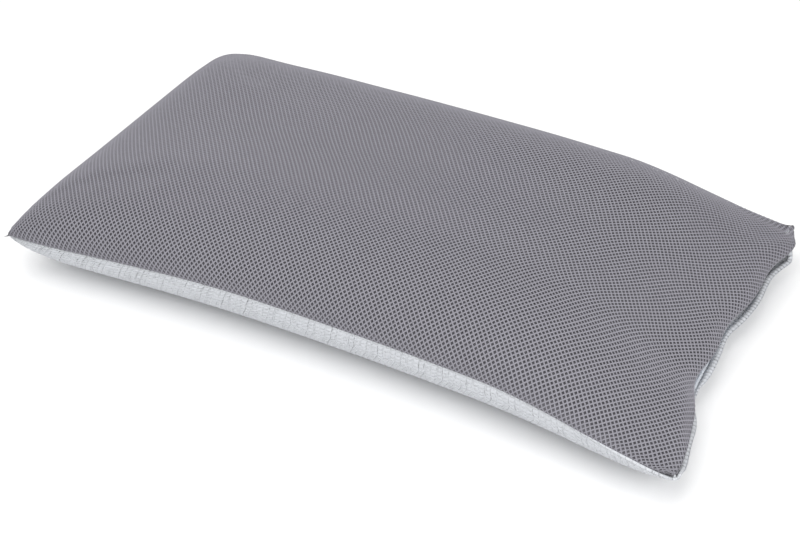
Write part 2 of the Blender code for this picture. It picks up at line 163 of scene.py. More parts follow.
def underDepth(u, v):
    curve = endFall(u, underProfile) * fall(v, underProfile["side"])
    return np.minimum(curve / (1 - form["restShare"]), 1.0)


def underForm(u, v):
    x, y = planOf(u, v, 0.0, earEdge(v) - zipFastener["setback"] * openShare(v),
                  form["earCut"]["knit"])
    dropsFrom = zipFastener["dropsFrom"]
    drop = zipFastener["rimDrop"] * openShare(v) * ease((u - dropsFrom) / (1 - dropsFrom))
    edge = seamHeight(u, v) - form["seamGap"] - drop
    z = edge * (1 - underDepth(u, v))
    return np.stack((x, y, z), axis=-1)


# Slack cloth: the zip end's folds, and long shallow swells.

folds = {
    "base": 0.0032,             # the mesh edge stands this far out between its folds
    "list": [                   # place along the zip, how far in it pulls, its width
        (-0.164, 0.0018, 0.016),
        (-0.118, 0.0010, 0.016),
        (-0.065, 0.0086, 0.022),
        (-0.015, 0.0042, 0.045),
        (0.020, 0.0036, 0.019),
        (0.072, -0.0012, 0.020),
        (0.114, 0.0024, 0.020),
        (0.150, -0.0026, 0.015),
    ],
    "reach": 0.060,             # how far in from the zip end they run
    "fan": 0.25,                # they lean together by this share as they run in
    "valley": 0.42,             # depth of a fold's valley over its pull
    "earFrom": 0.86,            # at the ears, from this station of v,
    "earLess": 0.6,             # they pull less by this share
    "rise": 0.02,               # height over the seam at which valleys and swells are full
}
brow = {                        # the mesh stays high towards the zip end and then turns down
    "height": 0.0050,
    "turn": 0.0070,             # over this length
    "reach": 0.034,
    "earReach": 0.015,
    "earLess": 0.55,            # and lower at the ears by this share
    "earFrom": 0.75,            # stations of v over which that comes in
    "earTo": 0.95,
}
hills = [                       # height, place and size of broad swellings and hollows
    (0.0042, (0.060, 0.125), (0.26, 0.080)),
    (-0.0042, (0.258, 0.150), (0.020, 0.030)),
    (-0.0020, (0.258, -0.150), (0.020, 0.030)),
]
swells = [                      # amplitude, waves along x and y, turn
    (0.00055, 21.0, 9.0, 0.4),
    (0.00045, 13.0, -24.0, 1.9),
    (0.00035, 34.0, 17.0, 4.1),
    (0.00025, 47.0, -38.0, 2.6),
]


def foldPull(x, y):
    # How far the folds draw the cloth in at this y; they fan out a little as they run in.
    inward = np.clip((form["halfLength"] - x) / folds["reach"], 0.0, 1.0)
    pull = np.zeros_like(y)
    for place, depth, width in folds["list"]:
        away = y - place * (1 - folds["fan"] * inward)
        pull = pull + depth * bump(away / (width * (1 + inward)))
    return pull


def swellAt(x, y):
    return sum(size * np.sin(wavesX * x + wavesY * y + turn)
               for size, wavesX, wavesY, turn in swells)


def nearZipEnd(x):
    edge = form["halfLength"] - form["endHollow"]
    return ease((x - edge + folds["reach"]) / folds["reach"])


def browAt(x, y, v):
    turn = brow["turn"]
    inward = np.maximum(earEdge(v) - x, 0.0)
    sideways = np.maximum(sideOf(x) - np.abs(y), 0.0)
    ear = ease((np.abs(v) - brow["earFrom"]) / (brow["earTo"] - brow["earFrom"]))
    reach = brow["reach"] + (brow["earReach"] - brow["reach"]) * ear
    rounded = np.sqrt(np.minimum(inward / turn, 1.0) * np.minimum(sideways / turn, 1.0))
    height = brow["height"] * (1 - brow["earLess"] * ear)
    return height * rounded * (1 - ease((inward - turn) / reach))


def hillAt(x, y):
    return sum(height * bump((x - placeX) / sizeX) * bump((y - placeY) / sizeY)
               for height, (placeX, placeY), (sizeX, sizeY) in hills)


def topShape(u, v):
    points = topForm(u, v)
    x, y = points[..., 0], points[..., 1]
    near = nearZipEnd(x)
    pull = foldPull(x, y)
    ear = ease((np.abs(v) - folds["earFrom"]) / (1 - folds["earFrom"]))
    crownShare = np.clip((points[..., 2] - seamHeight(u, v)) / folds["rise"], 0.0, 1.0)
    moved = points.copy()
    moved[..., 0] += near ** 2 * (folds["base"] * (1 - ear)
                                  - pull * (1 - folds["earLess"] * ear))
    moved[..., 2] += crownShare * (swellAt(x, y) + hillAt(x, y)) + browAt(x, y, v)
    moved[..., 2] -= near * folds["valley"] * pull * crownShare
    return moved


def crowdedStations(steps, power=2.2):
    # From -1 to 1, closer together towards both ends.
    t = np.linspace(-1, 1, steps + 1)
    return np.sign(t) * (1 - (1 - np.abs(t)) ** power)


def evenLattice(surface, stepsU, stepsV, rounds=7):
    # u and v of a lattice whose steps over the surface are even in length.
    u, v = np.meshgrid(crowdedStations(stepsU), crowdedStations(stepsV), indexing="ij")
    for turn in range(2 * rounds):
        if turn % 2:
            u, v = evenRows(surface, u, v)
        else:
            flipped = evenRows(lambda a, b: surface(a.T, b.T).transpose(1, 0, 2), u.T, v.T)
            u, v = flipped[0].T, flipped[1].T
    return u, v


def evenRows(surface, u, v):
    points = surface(u, v)
    lengths = np.linalg.norm(np.diff(points, axis=1), axis=2)
    travelled = np.concatenate((np.zeros((len(u), 1)), np.cumsum(lengths, axis=1)), axis=1)
    newU, newV = np.empty_like(u), np.empty_like(v)
    for i, row in enumerate(travelled):
        places = np.linspace(0, row[-1], len(row))
        newU[i] = np.interp(places, row, u[i])
        newV[i] = np.interp(places, row, v[i])
    return newU, newV


def gridNormals(points, facing=1.0):
    across = np.cross(np.gradient(points, axis=0), np.gradient(points, axis=1)) * facing
    return across / np.maximum(np.linalg.norm(across, axis=2, keepdims=True), 1e-12)


# Cloth simulation of the filled cover, on a coarse skin.

simulation = {
    "steps": (84, 52),
    "crowding": 1.9,            # of the skin's stations towards its edges
    "frames": 20,
    "quality": 5,
    "mass": 0.25,
    "stretchStiffness": 18,
    "shearStiffness": 6,
    "bendingStiffness": 0.4,
    "pressure": 4.0,
    "slack": 0.035,             # extra cloth at the zip end
    "seamSlack": 0.25,          # and this share of it along the seams
    "seamPower": 12,
    "heldFrom": 0.97,           # share of its depth from which the underside stays put
    "swellPasses": 60,          # these find the overall swelling, which is taken out
    "smoothing": 3,
    "share": 0.85,
    "cap": 0.003,               # no point moves further
    "inwardCap": 0.0008,
}
skinU, skinV = (crowdedStations(steps, simulation["crowding"]) for steps in simulation["steps"])


def borderOf(grid):
    # A grid's edge entries, in order round it.
    return np.concatenate((grid[0, :-1], grid[:-1, -1], grid[-1, :0:-1], grid[:0:-1, 0]))


def gridFaces(index, flip=False):
    quads = np.stack((index[:-1, :-1], index[1:, :-1], index[1:, 1:], index[:-1, 1:]), axis=-1)
    quads = quads.reshape(-1, 4)
    return quads[:, ::-1] if flip else quads


def closedSkin(top, under):
    # Two grids that share their border: points, faces and both grids' indices.
    rows, columns = top.shape[:2]
    topIndex = np.arange(rows * columns).reshape(rows, columns)
    underIndex = topIndex.copy()
    underIndex[1:-1, 1:-1] = rows * columns + np.arange((rows - 2) * (columns - 2)).reshape(
        rows - 2, columns - 2)
    points = np.concatenate((top.reshape(-1, 3), under[1:-1, 1:-1].reshape(-1, 3)))
    faces = np.concatenate((gridFaces(topIndex), gridFaces(underIndex, flip=True)))
    return points, faces, topIndex, underIndex


def linked(name, data):
    # A new object in the scene.
    made = bpy.data.objects.new(name, data)
    bpy.context.scene.collection.objects.link(made)
    return made


def softened(field, passes):
    for _ in range(passes):
        padded = np.pad(field, ((1, 1), (1, 1), (0, 0)), mode="edge")
        field = (padded[:-2, 1:-1] + padded[2:, 1:-1] + padded[1:-1, :-2]
                 + padded[1:-1, 2:] + 4 * field) / 8
    return field


def simulateSkin():
    # How the cover's cloth settles over its filling: a displacement for each coarse point.
    u, v = np.meshgrid(skinU, skinV, indexing="ij")
    top, under = topShape(u, v), underForm(u, v)
    points, faces, topIndex, underIndex = closedSkin(top, under)
    mesh = bpy.data.meshes.new("coarseSkin")
    mesh.from_pydata(points.tolist(), [], faces.tolist())
    skin = linked("coarseSkin", mesh)

    held = skin.vertex_groups.new(name="held")
    held.add(borderOf(topIndex).tolist(), 1.0, "REPLACE")
    resting = underDepth(u, v)[1:-1, 1:-1] > simulation["heldFrom"]
    held.add(underIndex[1:-1, 1:-1][resting].tolist(), 1.0, "REPLACE")
    loose = skin.vertex_groups.new(name="loose")
    alongSeam = simulation["seamSlack"] * np.abs(v) ** simulation["seamPower"]
    looseness = np.maximum(nearZipEnd(top[..., 0]), alongSeam)
    for index, weight in zip(topIndex.ravel().tolist(), looseness.ravel().tolist()):
        loose.add([index], weight, "REPLACE")

    cloth = skin.modifiers.new("cloth", "CLOTH")
    settings = cloth.settings
    settings.quality = simulation["quality"]
    settings.mass = simulation["mass"]
    settings.tension_stiffness = simulation["stretchStiffness"]
    settings.compression_stiffness = simulation["stretchStiffness"]
    settings.shear_stiffness = simulation["shearStiffness"]
    settings.bending_stiffness = simulation["bendingStiffness"]
    settings.effector_weights.gravity = 0
    settings.use_pressure = True
    settings.uniform_pressure_force = simulation["pressure"]
    settings.vertex_group_mass = held.name
    settings.vertex_group_shrink = loose.name
    settings.shrink_min = 0.0
    settings.shrink_max = -simulation["slack"]
    cloth.collision_settings.use_collision = False
    cloth.point_cache.frame_end = simulation["frames"]
    scene = bpy.context.scene
    for step in range(1, simulation["frames"] + 1):
        scene.frame_set(step)
    settled = skin.evaluated_get(bpy.context.evaluated_depsgraph_get()).to_mesh()
    after = np.empty(len(points) * 3)
    settled.vertices.foreach_get("co", after)
    skin.evaluated_get(bpy.context.evaluated_depsgraph_get()).to_mesh_clear()
    scene.frame_set(1)
    moved = after.reshape(-1, 3) - points
    bpy.data.objects.remove(skin)
    bpy.data.meshes.remove(mesh)

    print(f"  cloth moved up to {np.abs(moved).max() * 1000:.1f} mm before its cap")
    return [tamed(moved[topIndex], gridNormals(top)),
            tamed(moved[underIndex], gridNormals(under, -1.0))]


def tamed(move, normals):
    # Creases without the overall swelling, and hardly any way in towards the filling.
    creases = (move - softened(move, simulation["swellPasses"])) * simulation["share"]
    creases = softened(creases, simulation["smoothing"])
    size = np.maximum(np.linalg.norm(creases, axis=2, keepdims=True), 1e-9)
    creases = creases * np.tanh(size / simulation["cap"]) * simulation["cap"] / size
    inward = np.minimum((creases * normals).sum(axis=2, keepdims=True), 0.0)
    kept = -simulation["inwardCap"] * np.tanh(-inward / simulation["inwardCap"])
    return creases + normals * (kept - inward)


def cubicWeights(t):
    return np.stack((-0.5 * t + t ** 2 - 0.5 * t ** 3, 1 - 2.5 * t ** 2 + 1.5 * t ** 3,
                     0.5 * t + 2 * t ** 2 - 1.5 * t ** 3, -0.5 * t ** 2 + 0.5 * t ** 3))


def sampled(field, u, v):
    # The coarse displacement at any u and v, as a smooth surface through its points.
    placeU = np.interp(u, skinU, np.arange(len(skinU)))
    placeV = np.interp(v, skinV, np.arange(len(skinV)))
    cellU = np.minimum(placeU.astype(int), len(skinU) - 2)
    cellV = np.minimum(placeV.astype(int), len(skinV) - 2)
    weightsU, weightsV = cubicWeights(placeU - cellU), cubicWeights(placeV - cellV)
    total = np.zeros(u.shape + (3,))
    for i in range(4):
        rowPick = np.clip(cellU + i - 1, 0, len(skinU) - 1)
        for j in range(4):
            columnPick = np.clip(cellV + j - 1, 0, len(skinV) - 1)
            weight = weightsU[i] * weightsV[j]
            total += weight[..., None] * field[rowPick, columnPick]
    return total


creases = simulateSkin()
print("cloth simulation done")


def topSurface(u, v):
    return topShape(u, v) + sampled(creases[0], u, v)


def underSurface(u, v):
    # The knit stays flat where it rests.
    points = underForm(u, v) + sampled(creases[1], u, v)
    points[..., 2] = np.where(underDepth(u, v) >= 1.0, 0.0, np.maximum(points[..., 2], 0.0))
    return points


# Making pieces.

def addPiece(name, points, faces, material, cloth=None):
    # A mesh object from points and faces. cloth gives each point's place in the flat fabric.
    points = np.asarray(points, float).reshape(-1, 3)
    mesh = bpy.data.meshes.new(name)
    mesh.from_pydata(points.tolist(), [], [list(face) for face in faces])
    mesh.shade_smooth()
    if cloth is not None:
        layer = mesh.uv_layers.new(name="cloth")
        corners = np.empty(len(mesh.loops), int)
        mesh.loops.foreach_get("vertex_index", corners)
        layer.data.foreach_set("uv", np.asarray(cloth, float).reshape(-1, 2)[corners].ravel())
    mesh.materials.append(material)
    return linked(name, mesh)


def thicken(piece, thickness):
    solid = piece.modifiers.new("thickness", "SOLIDIFY")
    solid.thickness = thickness
    solid.offset = -1.0


def finishPiece(piece, body, slot, *stoodFor):
    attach(piece, body)
    if stoodFor:
        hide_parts(*stoodFor)
    return piece


def merged(parts):
    # Several (points, faces) as one.
    points, faces, count = [], [], 0
    for partPoints, partFaces in parts:
        partPoints = np.asarray(partPoints, float).reshape(-1, 3)
        points.append(partPoints)
        faces += [tuple(int(i) + count for i in face) for face in partFaces]
        count += len(partPoints)
    return np.concatenate(points), faces


def sweep(path, section, start=(0, 0, 1)):
    # A closed tube of the section's points (side, up) along a path.
    path = np.asarray(path, float)
    section = np.asarray(section, float)
    count = len(path)
    along = np.gradient(path, axis=0)
    along /= np.linalg.norm(along, axis=1, keepdims=True)
    up = np.asarray(start, float)
    rings = []
    for point, forward in zip(path, along):
        up = up - forward * (up @ forward)
        up = up / np.linalg.norm(up)
        side = np.cross(forward, up)
        rings.append(point + section[:, :1] * side + section[:, 1:] * up)
    size = len(section)
    faces = []
    for i in range(count - 1):
        here, there = i * size, (i + 1) * size
        for j in range(size):
            k = (j + 1) % size
            faces.append((here + j, here + k, there + k, there + j))
    faces.append(tuple(range(size))[::-1])
    faces.append(tuple(range((count - 1) * size, count * size)))
    return np.concatenate(rings), faces


def circle(radius, sides):
    turn = np.arange(sides) * 2 * np.pi / sides
    return np.stack((radius * np.cos(turn), radius * np.sin(turn)), axis=1)


# Shader groups: they put out only colours and heights.

def newGroup(name, inputs, outputs):
    group = bpy.data.node_groups.new(name, "ShaderNodeTree")
    for label, kind, value in inputs:
        socket = group.interface.new_socket(label, in_out="INPUT", socket_type=kind)
        if value is not None:
            socket.default_value = value
    for label, kind in outputs:
        group.interface.new_socket(label, in_out="OUTPUT", socket_type=kind)
    return group, group.nodes.new("NodeGroupInput"), group.nodes.new("NodeGroupOutput")


def feed(tree, socket, value):
    # Sets a number on a socket or links another socket to it.
    if isinstance(value, (int, float)):
        socket.default_value = value
    else:
        tree.links.new(value, socket)


def calc(tree, operation, *values):
    # A Math node; it gives its output socket.
    node = tree.nodes.new("ShaderNodeMath")
    node.operation = operation
    for socket, value in zip(node.inputs, values):
        feed(tree, socket, value)
    return node.outputs[0]


def noiseAt(tree, vector, scale, detail, roughness):
    node = tree.nodes.new("ShaderNodeTexNoise")
    node.inputs["Detail"].default_value = detail
    node.inputs["Roughness"].default_value = roughness
    tree.links.new(vector, node.inputs["Vector"])
    feed(tree, node.inputs["Scale"], scale)
    return node.outputs["Fac"]


def splitVector(tree, vector):
    node = tree.nodes.new("ShaderNodeSeparateXYZ")
    tree.links.new(vector, node.inputs[0])
    return node.outputs[0], node.outputs[1]


def buildToneDrift():
    # Soft patches where the colour is a little lighter or darker.
    group, given, out = newGroup(
        "toneDrift",
        [("Colour", "NodeSocketColor", (0.5, 0.5, 0.5, 1)), ("Vector", "NodeSocketVector", None),
         ("Scale", "NodeSocketFloat", 20.0), ("Amount", "NodeSocketFloat", 0.1)],
        [("Colour", "NodeSocketColor")])
    drift = noiseAt(group, given.outputs["Vector"], given.outputs["Scale"], 4.0, 0.6)
    swing = calc(group, "MULTIPLY", calc(group, "SUBTRACT", drift, 0.5), 2.0)
    factor = calc(group, "ADD", calc(group, "MULTIPLY", swing, given.outputs["Amount"]), 1.0)
    scaled = group.nodes.new("ShaderNodeVectorMath")
    scaled.operation = "SCALE"
    group.links.new(given.outputs["Colour"], scaled.inputs[0])
    group.links.new(factor, scaled.inputs["Scale"])
    group.links.new(scaled.outputs[0], out.inputs["Colour"])
    return group


def buildKnitLoops():
    # Rows of knitted loops: columns along one way, V-shaped courses along the other.
    group, given, out = newGroup(
        "knitLoops",
        [("Vector", "NodeSocketVector", None), ("Wales", "NodeSocketFloat", 900.0),
         ("Courses", "NodeSocketFloat", 900.0)],
        [("Height", "NodeSocketFloat")])
    x, y = splitVector(group, given.outputs["Vector"])
    wale = calc(group, "MULTIPLY", x, given.outputs["Wales"])
    course = calc(group, "MULTIPLY", y, given.outputs["Courses"])
    arm = calc(group, "ABSOLUTE", calc(group, "SUBTRACT", calc(group, "FRACT", wale), 0.5))
    column = calc(group, "ABSOLUTE", calc(group, "SINE", calc(group, "MULTIPLY", wale, math.pi)))
    slanted = calc(group, "ADD", course, calc(group, "MULTIPLY", arm, 1.2))
    loop = calc(group, "ABSOLUTE", calc(group, "SINE", calc(group, "MULTIPLY", slanted, math.pi)))
    raised = calc(group, "ADD", calc(group, "MULTIPLY", loop, 0.45), 0.55)
    group.links.new(calc(group, "MULTIPLY", column, raised), out.inputs["Height"])
    return group


def buildWovenYarn():
    # Plain weave: each yarn passes over and under its neighbours by turns.
    group, given, out = newGroup(
        "wovenYarn",
        [("Vector", "NodeSocketVector", None), ("Warp", "NodeSocketFloat", 1500.0),
         ("Weft", "NodeSocketFloat", 1500.0)],
        [("Height", "NodeSocketFloat")])
    x, y = splitVector(group, given.outputs["Vector"])
    waves = []
    for place, count in ((x, "Warp"), (y, "Weft")):
        turned = calc(group, "MULTIPLY", calc(group, "MULTIPLY", place, given.outputs[count]),
                      math.pi)
        waves.append(calc(group, "SINE", turned))
    over = calc(group, "GREATER_THAN", calc(group, "MULTIPLY", *waves), 0.0)
    under = calc(group, "SUBTRACT", 1.0, over)
    warp = calc(group, "MULTIPLY", calc(group, "ABSOLUTE", waves[0]), over)
    weft = calc(group, "MULTIPLY", calc(group, "ABSOLUTE", waves[1]), under)
    group.links.new(calc(group, "ADD", warp, weft), out.inputs["Height"])
    return group


def buildFibre():
    # Fine loose fibres, finer across the yarn than along it.
    group, given, out = newGroup(
        "fibre",
        [("Vector", "NodeSocketVector", None), ("Fineness", "NodeSocketFloat", 2500.0),
         ("Stretch", "NodeSocketFloat", 0.25)],
        [("Height", "NodeSocketFloat")])
    x, y = splitVector(group, given.outputs["Vector"])
    joined = group.nodes.new("ShaderNodeCombineXYZ")
    group.links.new(x, joined.inputs[0])
    group.links.new(calc(group, "MULTIPLY", y, given.outputs["Stretch"]), joined.inputs[1])
    fine = noiseAt(group, joined.outputs[0], given.outputs["Fineness"], 2.0, 0.6)
    group.links.new(fine, out.inputs["Height"])
    return group


shaderGroups = {
    "toneDrift": buildToneDrift(),
    "knitLoops": buildKnitLoops(),
    "wovenYarn": buildWovenYarn(),
    "fibre": buildFibre(),
}


def startMaterial(name):
    material = bpy.data.materials.new(name)
    material.use_nodes = True
    return material, material.node_tree, material.node_tree.nodes["Principled BSDF"]


def placeGroup(tree, name, vector, **values):
    node = tree.nodes.new("ShaderNodeGroup")
    node.node_tree = shaderGroups[name]
    tree.links.new(vector, node.inputs["Vector"])
    for label, value in values.items():
        node.inputs[label].default_value = value
    return node.outputs[0]


def clothPlace(tree):
    node = tree.nodes.new("ShaderNodeUVMap")
    node.uv_map = "cloth"
    return node.outputs[0]


def objectPlace(tree):
    return tree.nodes.new("ShaderNodeTexCoord").outputs["Object"]


def ranged(tree, value, low, high):
    # A 0 to 1 value between two others.
    node = tree.nodes.new("ShaderNodeMapRange")
    node.inputs["To Min"].default_value = low
    node.inputs["To Max"].default_value = high
    tree.links.new(value, node.inputs["Value"])
    return node.outputs[0]


# The knit's embossed pattern, which its mesh and its relief share.
embossing = {"repeatX": 0.0104, "repeatY": 0.0092, "depth": 0.00045, "power": 0.7,
             "reliefPower": 0.6}

yarnRelief = [("loops", (1150.0, 950.0), 0.5, 0.00012), ("fibre", (2600.0, 0.45), 0.35, 0.00010)]

# colour; drift: scale and amount of its change; on: its fibres follow the flat cloth or the
# object; relief: kind, its values, strength and distance; rough: roughness, or its range over
# the last relief layer
finishLooks = {
    "meshYarn": {"colour": (0.264, 0.258, 0.291), "drift": (160.0, 0.10), "on": "cloth",
                 "rough": (0.74, 0.90), "sheen": 0.04, "relief": yarnRelief},
    "meshBacking": {"colour": (0.135, 0.131, 0.148), "drift": (160.0, 0.10), "on": "cloth",
                    "rough": (0.82, 0.98), "sheen": 0.04, "relief": yarnRelief},
    # the hem's dark grey, close to the backing's, is painted shade along the seam and in the zip
    # pocket
    "meshHem": {"colour": (0.150, 0.146, 0.163), "drift": (160.0, 0.10), "on": "cloth",
                "rough": (0.82, 0.98), "sheen": 0.04, "relief": yarnRelief},
    "whiteKnit": {"colour": (0.60, 0.618, 0.652), "drift": (70.0, 0.07), "on": "cloth",
                  "rough": 0.8, "sheen": 0.2,
                  "relief": [("fibre", (150.0, 0.45), 0.8, 0.0042),
                             ("quilting", (), 0.8, 0.0014),
                             ("loops", (820.0, 980.0), 0.6, 0.00030),
                             ("fibre", (1900.0, 0.6), 0.3, 0.00010)]},
    "jersey": {"colour": (0.80, 0.80, 0.79), "drift": (40.0, 0.04), "on": "cloth",
               "rough": 0.9, "sheen": 0.25,
               "relief": [("loops", (1250.0, 1400.0), 0.5, 0.00012),
                          ("fibre", (2200.0, 0.5), 0.3, 0.00008)]},
    "foam": {"colour": (0.80, 0.75, 0.62), "drift": (18.0, 0.08), "on": "object",
             "rough": 0.95,
             "relief": [("pores", (900.0,), 0.6, 0.0004),
                        ("grain", (420.0, 4.0, 0.65), 0.3, 0.0003)]},
    "thread": {"colour": (0.74, 0.77, 0.82), "drift": (300.0, 0.08), "on": "object",
               "rough": 0.6, "sheen": 0.3, "relief": [("fibre", (5200.0, 0.3), 0.5, 0.00008)]},
    "zipTape": {"colour": (0.66, 0.69, 0.74), "drift": (90.0, 0.06), "on": "cloth",
                "rough": 0.75, "sheen": 0.15,
                "relief": [("weave", (2300.0, 1700.0), 0.6, 0.00012),
                           ("fibre", (3000.0, 0.4), 0.25, 0.00006)]},
    "coilNylon": {"colour": (0.64, 0.67, 0.72), "drift": (140.0, 0.05), "on": "object",
                  "rough": (0.24, 0.42), "coat": 0.1,
                  "relief": [("fibre", (2400.0, 0.3), 0.12, 0.00005)]},
    "zipNickel": {"colour": (0.66, 0.66, 0.67), "drift": (500.0, 0.10), "on": "object",
                  "rough": (0.18, 0.50), "metallic": 1.0, "patches": (700.0, 4.0, 0.6),
                  "relief": [("fibre", (4200.0, 0.05), 0.15, 0.00003)]},
    "labelSatin": {"colour": (0.84, 0.84, 0.83), "drift": (110.0, 0.04), "on": "cloth",
                   "rough": 0.42, "sheen": 0.2,
                   "relief": [("weave", (3800.0, 900.0), 0.35, 0.00006)]},
}
sheenRoughness = 0.4
groupKinds = {
    "loops": ("knitLoops", ("Wales", "Courses")),
    "weave": ("wovenYarn", ("Warp", "Weft")),
    "fibre": ("fibre", ("Fineness", "Stretch")),
}


def quilting(tree, place):
    # Small soft lozenges.
    waves = []
    for along, repeat in zip(splitVector(tree, place),
                             (embossing["repeatX"], embossing["repeatY"])):
        turned = calc(tree, "MULTIPLY", along, 2 * math.pi / repeat)
        waves.append(calc(tree, "COSINE", turned))
    lozenge = calc(tree, "ABSOLUTE", calc(tree, "MULTIPLY", *waves))
    return calc(tree, "POWER", lozenge, embossing["reliefPower"])


def pores(tree, place, scale):
    node = tree.nodes.new("ShaderNodeTexVoronoi")
    node.inputs["Scale"].default_value = scale
    tree.links.new(place, node.inputs["Vector"])
    return node.outputs["Distance"]


def heightOf(tree, kind, place, values):
    if kind in groupKinds:
        group, labels = groupKinds[kind]
        return placeGroup(tree, group, place, **dict(zip(labels, values)))
    return {"quilting": quilting, "pores": pores, "grain": noiseAt}[kind](tree, place, *values)


def makeFinish(name, look):
    material, tree, shader = startMaterial(name)
    onObject = objectPlace(tree)
    place = clothPlace(tree) if look["on"] == "cloth" else onObject
    scale, amount = look["drift"]
    colour = placeGroup(tree, "toneDrift", onObject, Colour=(*look["colour"], 1.0), Scale=scale,
                        Amount=amount)
    tree.links.new(colour, shader.inputs["Base Color"])
    normal = None
    for kind, values, strength, distance in look["relief"]:
        height = heightOf(tree, kind, place, values)
        bumpNode = tree.nodes.new("ShaderNodeBump")
        bumpNode.inputs["Strength"].default_value = strength
        bumpNode.inputs["Distance"].default_value = distance
        tree.links.new(height, bumpNode.inputs["Height"])
        if normal is not None:
            tree.links.new(normal, bumpNode.inputs["Normal"])
        normal = bumpNode.outputs[0]
    tree.links.new(normal, shader.inputs["Normal"])
    if isinstance(look["rough"], tuple):
        mask = height
        if "patches" in look:       # fine rubbing marks and duller patches
            patches = noiseAt(tree, place, *look["patches"])
            mask = calc(tree, "MULTIPLY", calc(tree, "ADD", height, patches), 0.5)
        tree.links.new(ranged(tree, mask, *look["rough"]), shader.inputs["Roughness"])
    else:
        shader.inputs["Roughness"].default_value = look["rough"]
    shader.inputs["Metallic"].default_value = look.get("metallic", 0.0)
    shader.inputs["Coat Weight"].default_value = look.get("coat", 0.0)
    if "sheen" in look:
        shader.inputs["Sheen Weight"].default_value = look["sheen"]
        shader.inputs["Sheen Roughness"].default_value = sheenRoughness
    return material


finishes = {name: makeFinish(name, look) for name, look in finishLooks.items()}
print("materials made")


# The spacer mesh on top: open net, dark backing and a turned hem.

netCloth = {
    "pitchU": 0.0042,           # one repeat of the net, which holds two openings
    "pitchV": 0.0051,
    "opening": 0.64,            # an opening's size over the rhombus that it lies in
    "crest": 0.00026,           # yarn stands this much over the surface where it crosses
    "rim": 0.00034,             # and its edges lie this much under it
    "backingDepth": 0.0022,     # the dark second face lies this deep,
    "backingRows": 6,           # which it reaches in this many lattice rows
    "hemBehind": 0.0006,
    "hemTurn": [                # share of hemBehind and height of the hem's rows
        (1.0, 0.0008),
        (0.8, 0.0003),
        (0.6, -0.0001),
    ],
    "hemFold": (0.0011, 0.0002),    # inward and down
}
straightUp = np.array((0, 0, 1.0))


def netLattice():
    # Even u and v over the top, two steps to each whole repeat of the net.
    stations = np.linspace(-1, 1, 801)
    lines = topShape(stations, 0 * stations), topShape(0 * stations, stations)
    repeats = [round(np.linalg.norm(np.diff(line, axis=0), axis=1).sum() / pitch)
               for line, pitch in zip(lines, (netCloth["pitchU"], netCloth["pitchV"]))]
    u, v = evenLattice(topShape, 2 * repeats[0], 2 * repeats[1])
    return u, v, repeats


def flatPlaces(u, stepU, stepV):
    # Each lattice point's place in the flat cloth.
    i, j = np.indices(u.shape)
    return np.stack((i * stepU, j * stepV), axis=-1)


def netFaces(points, normals, flat):
    # One opening in each rhombus of the lattice, its yarns on the rhombus's sides.
    lastU, lastV = points.shape[0] - 1, points.shape[1] - 1
    i, j = np.indices(points.shape[:2])
    onBorder = (i == 0) | (i == lastU) | (j == 0) | (j == lastV)
    crossing = (i + j) % 2 == 1
    raised = points + normals * np.where(onBorder, 0.0, netCloth["crest"])[..., None]
    allPoints, allFlat = [raised[crossing]], [flat[crossing]]
    crossingIndex = np.full(points.shape[:2], -1)
    crossingIndex[crossing] = np.arange(crossing.sum())
    a, b = np.nonzero(~crossing)
    has = {"right": a < lastU, "left": a > 0, "upper": b < lastV, "lower": b > 0}
    beside = {"right": (np.minimum(a + 1, lastU), b), "left": (np.maximum(a - 1, 0), b),
              "upper": (a, np.minimum(b + 1, lastV)), "lower": (a, np.maximum(b - 1, 0))}
    first = int(crossing.sum())
    centre, centreFlat = points[a, b], flat[a, b].astype(float)
    ring, share = {}, netCloth["opening"]
    for way, index in beside.items():
        allPoints.append(centre + share * (points[index] - centre)
                         - normals[a, b] * netCloth["rim"])
        allFlat.append(centreFlat + share * (flat[index] - centreFlat))
        ring[way] = first + np.arange(len(a))
        first += len(a)
    corner = {way: crossingIndex[index] for way, index in beside.items()}
    faces = []
    turns = ("upper", "right", "lower", "left", "upper")
    for one, other in zip(turns, turns[1:]):
        keep = has[one] & has[other]
        faces += np.stack((corner[one], ring[one], ring[other], corner[other]),
                          axis=1)[keep].tolist()
    return np.concatenate(allPoints), faces, np.concatenate(allFlat)


def onlyUsed(points, faces, flat):
    used = np.unique(np.concatenate([np.asarray(face) for face in faces]))
    renumber = np.full(len(points), -1)
    renumber[used] = np.arange(len(used))
    return points[used], [tuple(renumber[list(face)]) for face in faces], flat[used]


def outwardOf(normals):
    level = normals * (1, 1, 0)
    return level / np.maximum(np.linalg.norm(level, axis=-1, keepdims=True), 1e-9)


def loopStrip(rows, flip=False):
    # Faces between closed rows of points.
    count = len(rows[0])
    faces = []
    for r in range(len(rows) - 1):
        for i in range(count):
            k = (i + 1) % count
            face = (r * count + i, r * count + k, (r + 1) * count + k, (r + 1) * count + i)
            faces.append(face[::-1] if flip else face)
    return np.concatenate(rows), faces


def stripPlaces(rows):
    lengths = np.linalg.norm(np.diff(rows[0], axis=0, append=rows[0][:1]), axis=1)
    along = np.concatenate(([0], np.cumsum(lengths)[:-1]))
    down = np.concatenate(([0], np.cumsum([np.linalg.norm(b - a, axis=1).mean()
                                           for a, b in zip(rows, rows[1:])])))
    return np.concatenate([np.stack((along, np.full_like(along, d)), axis=1) for d in down])


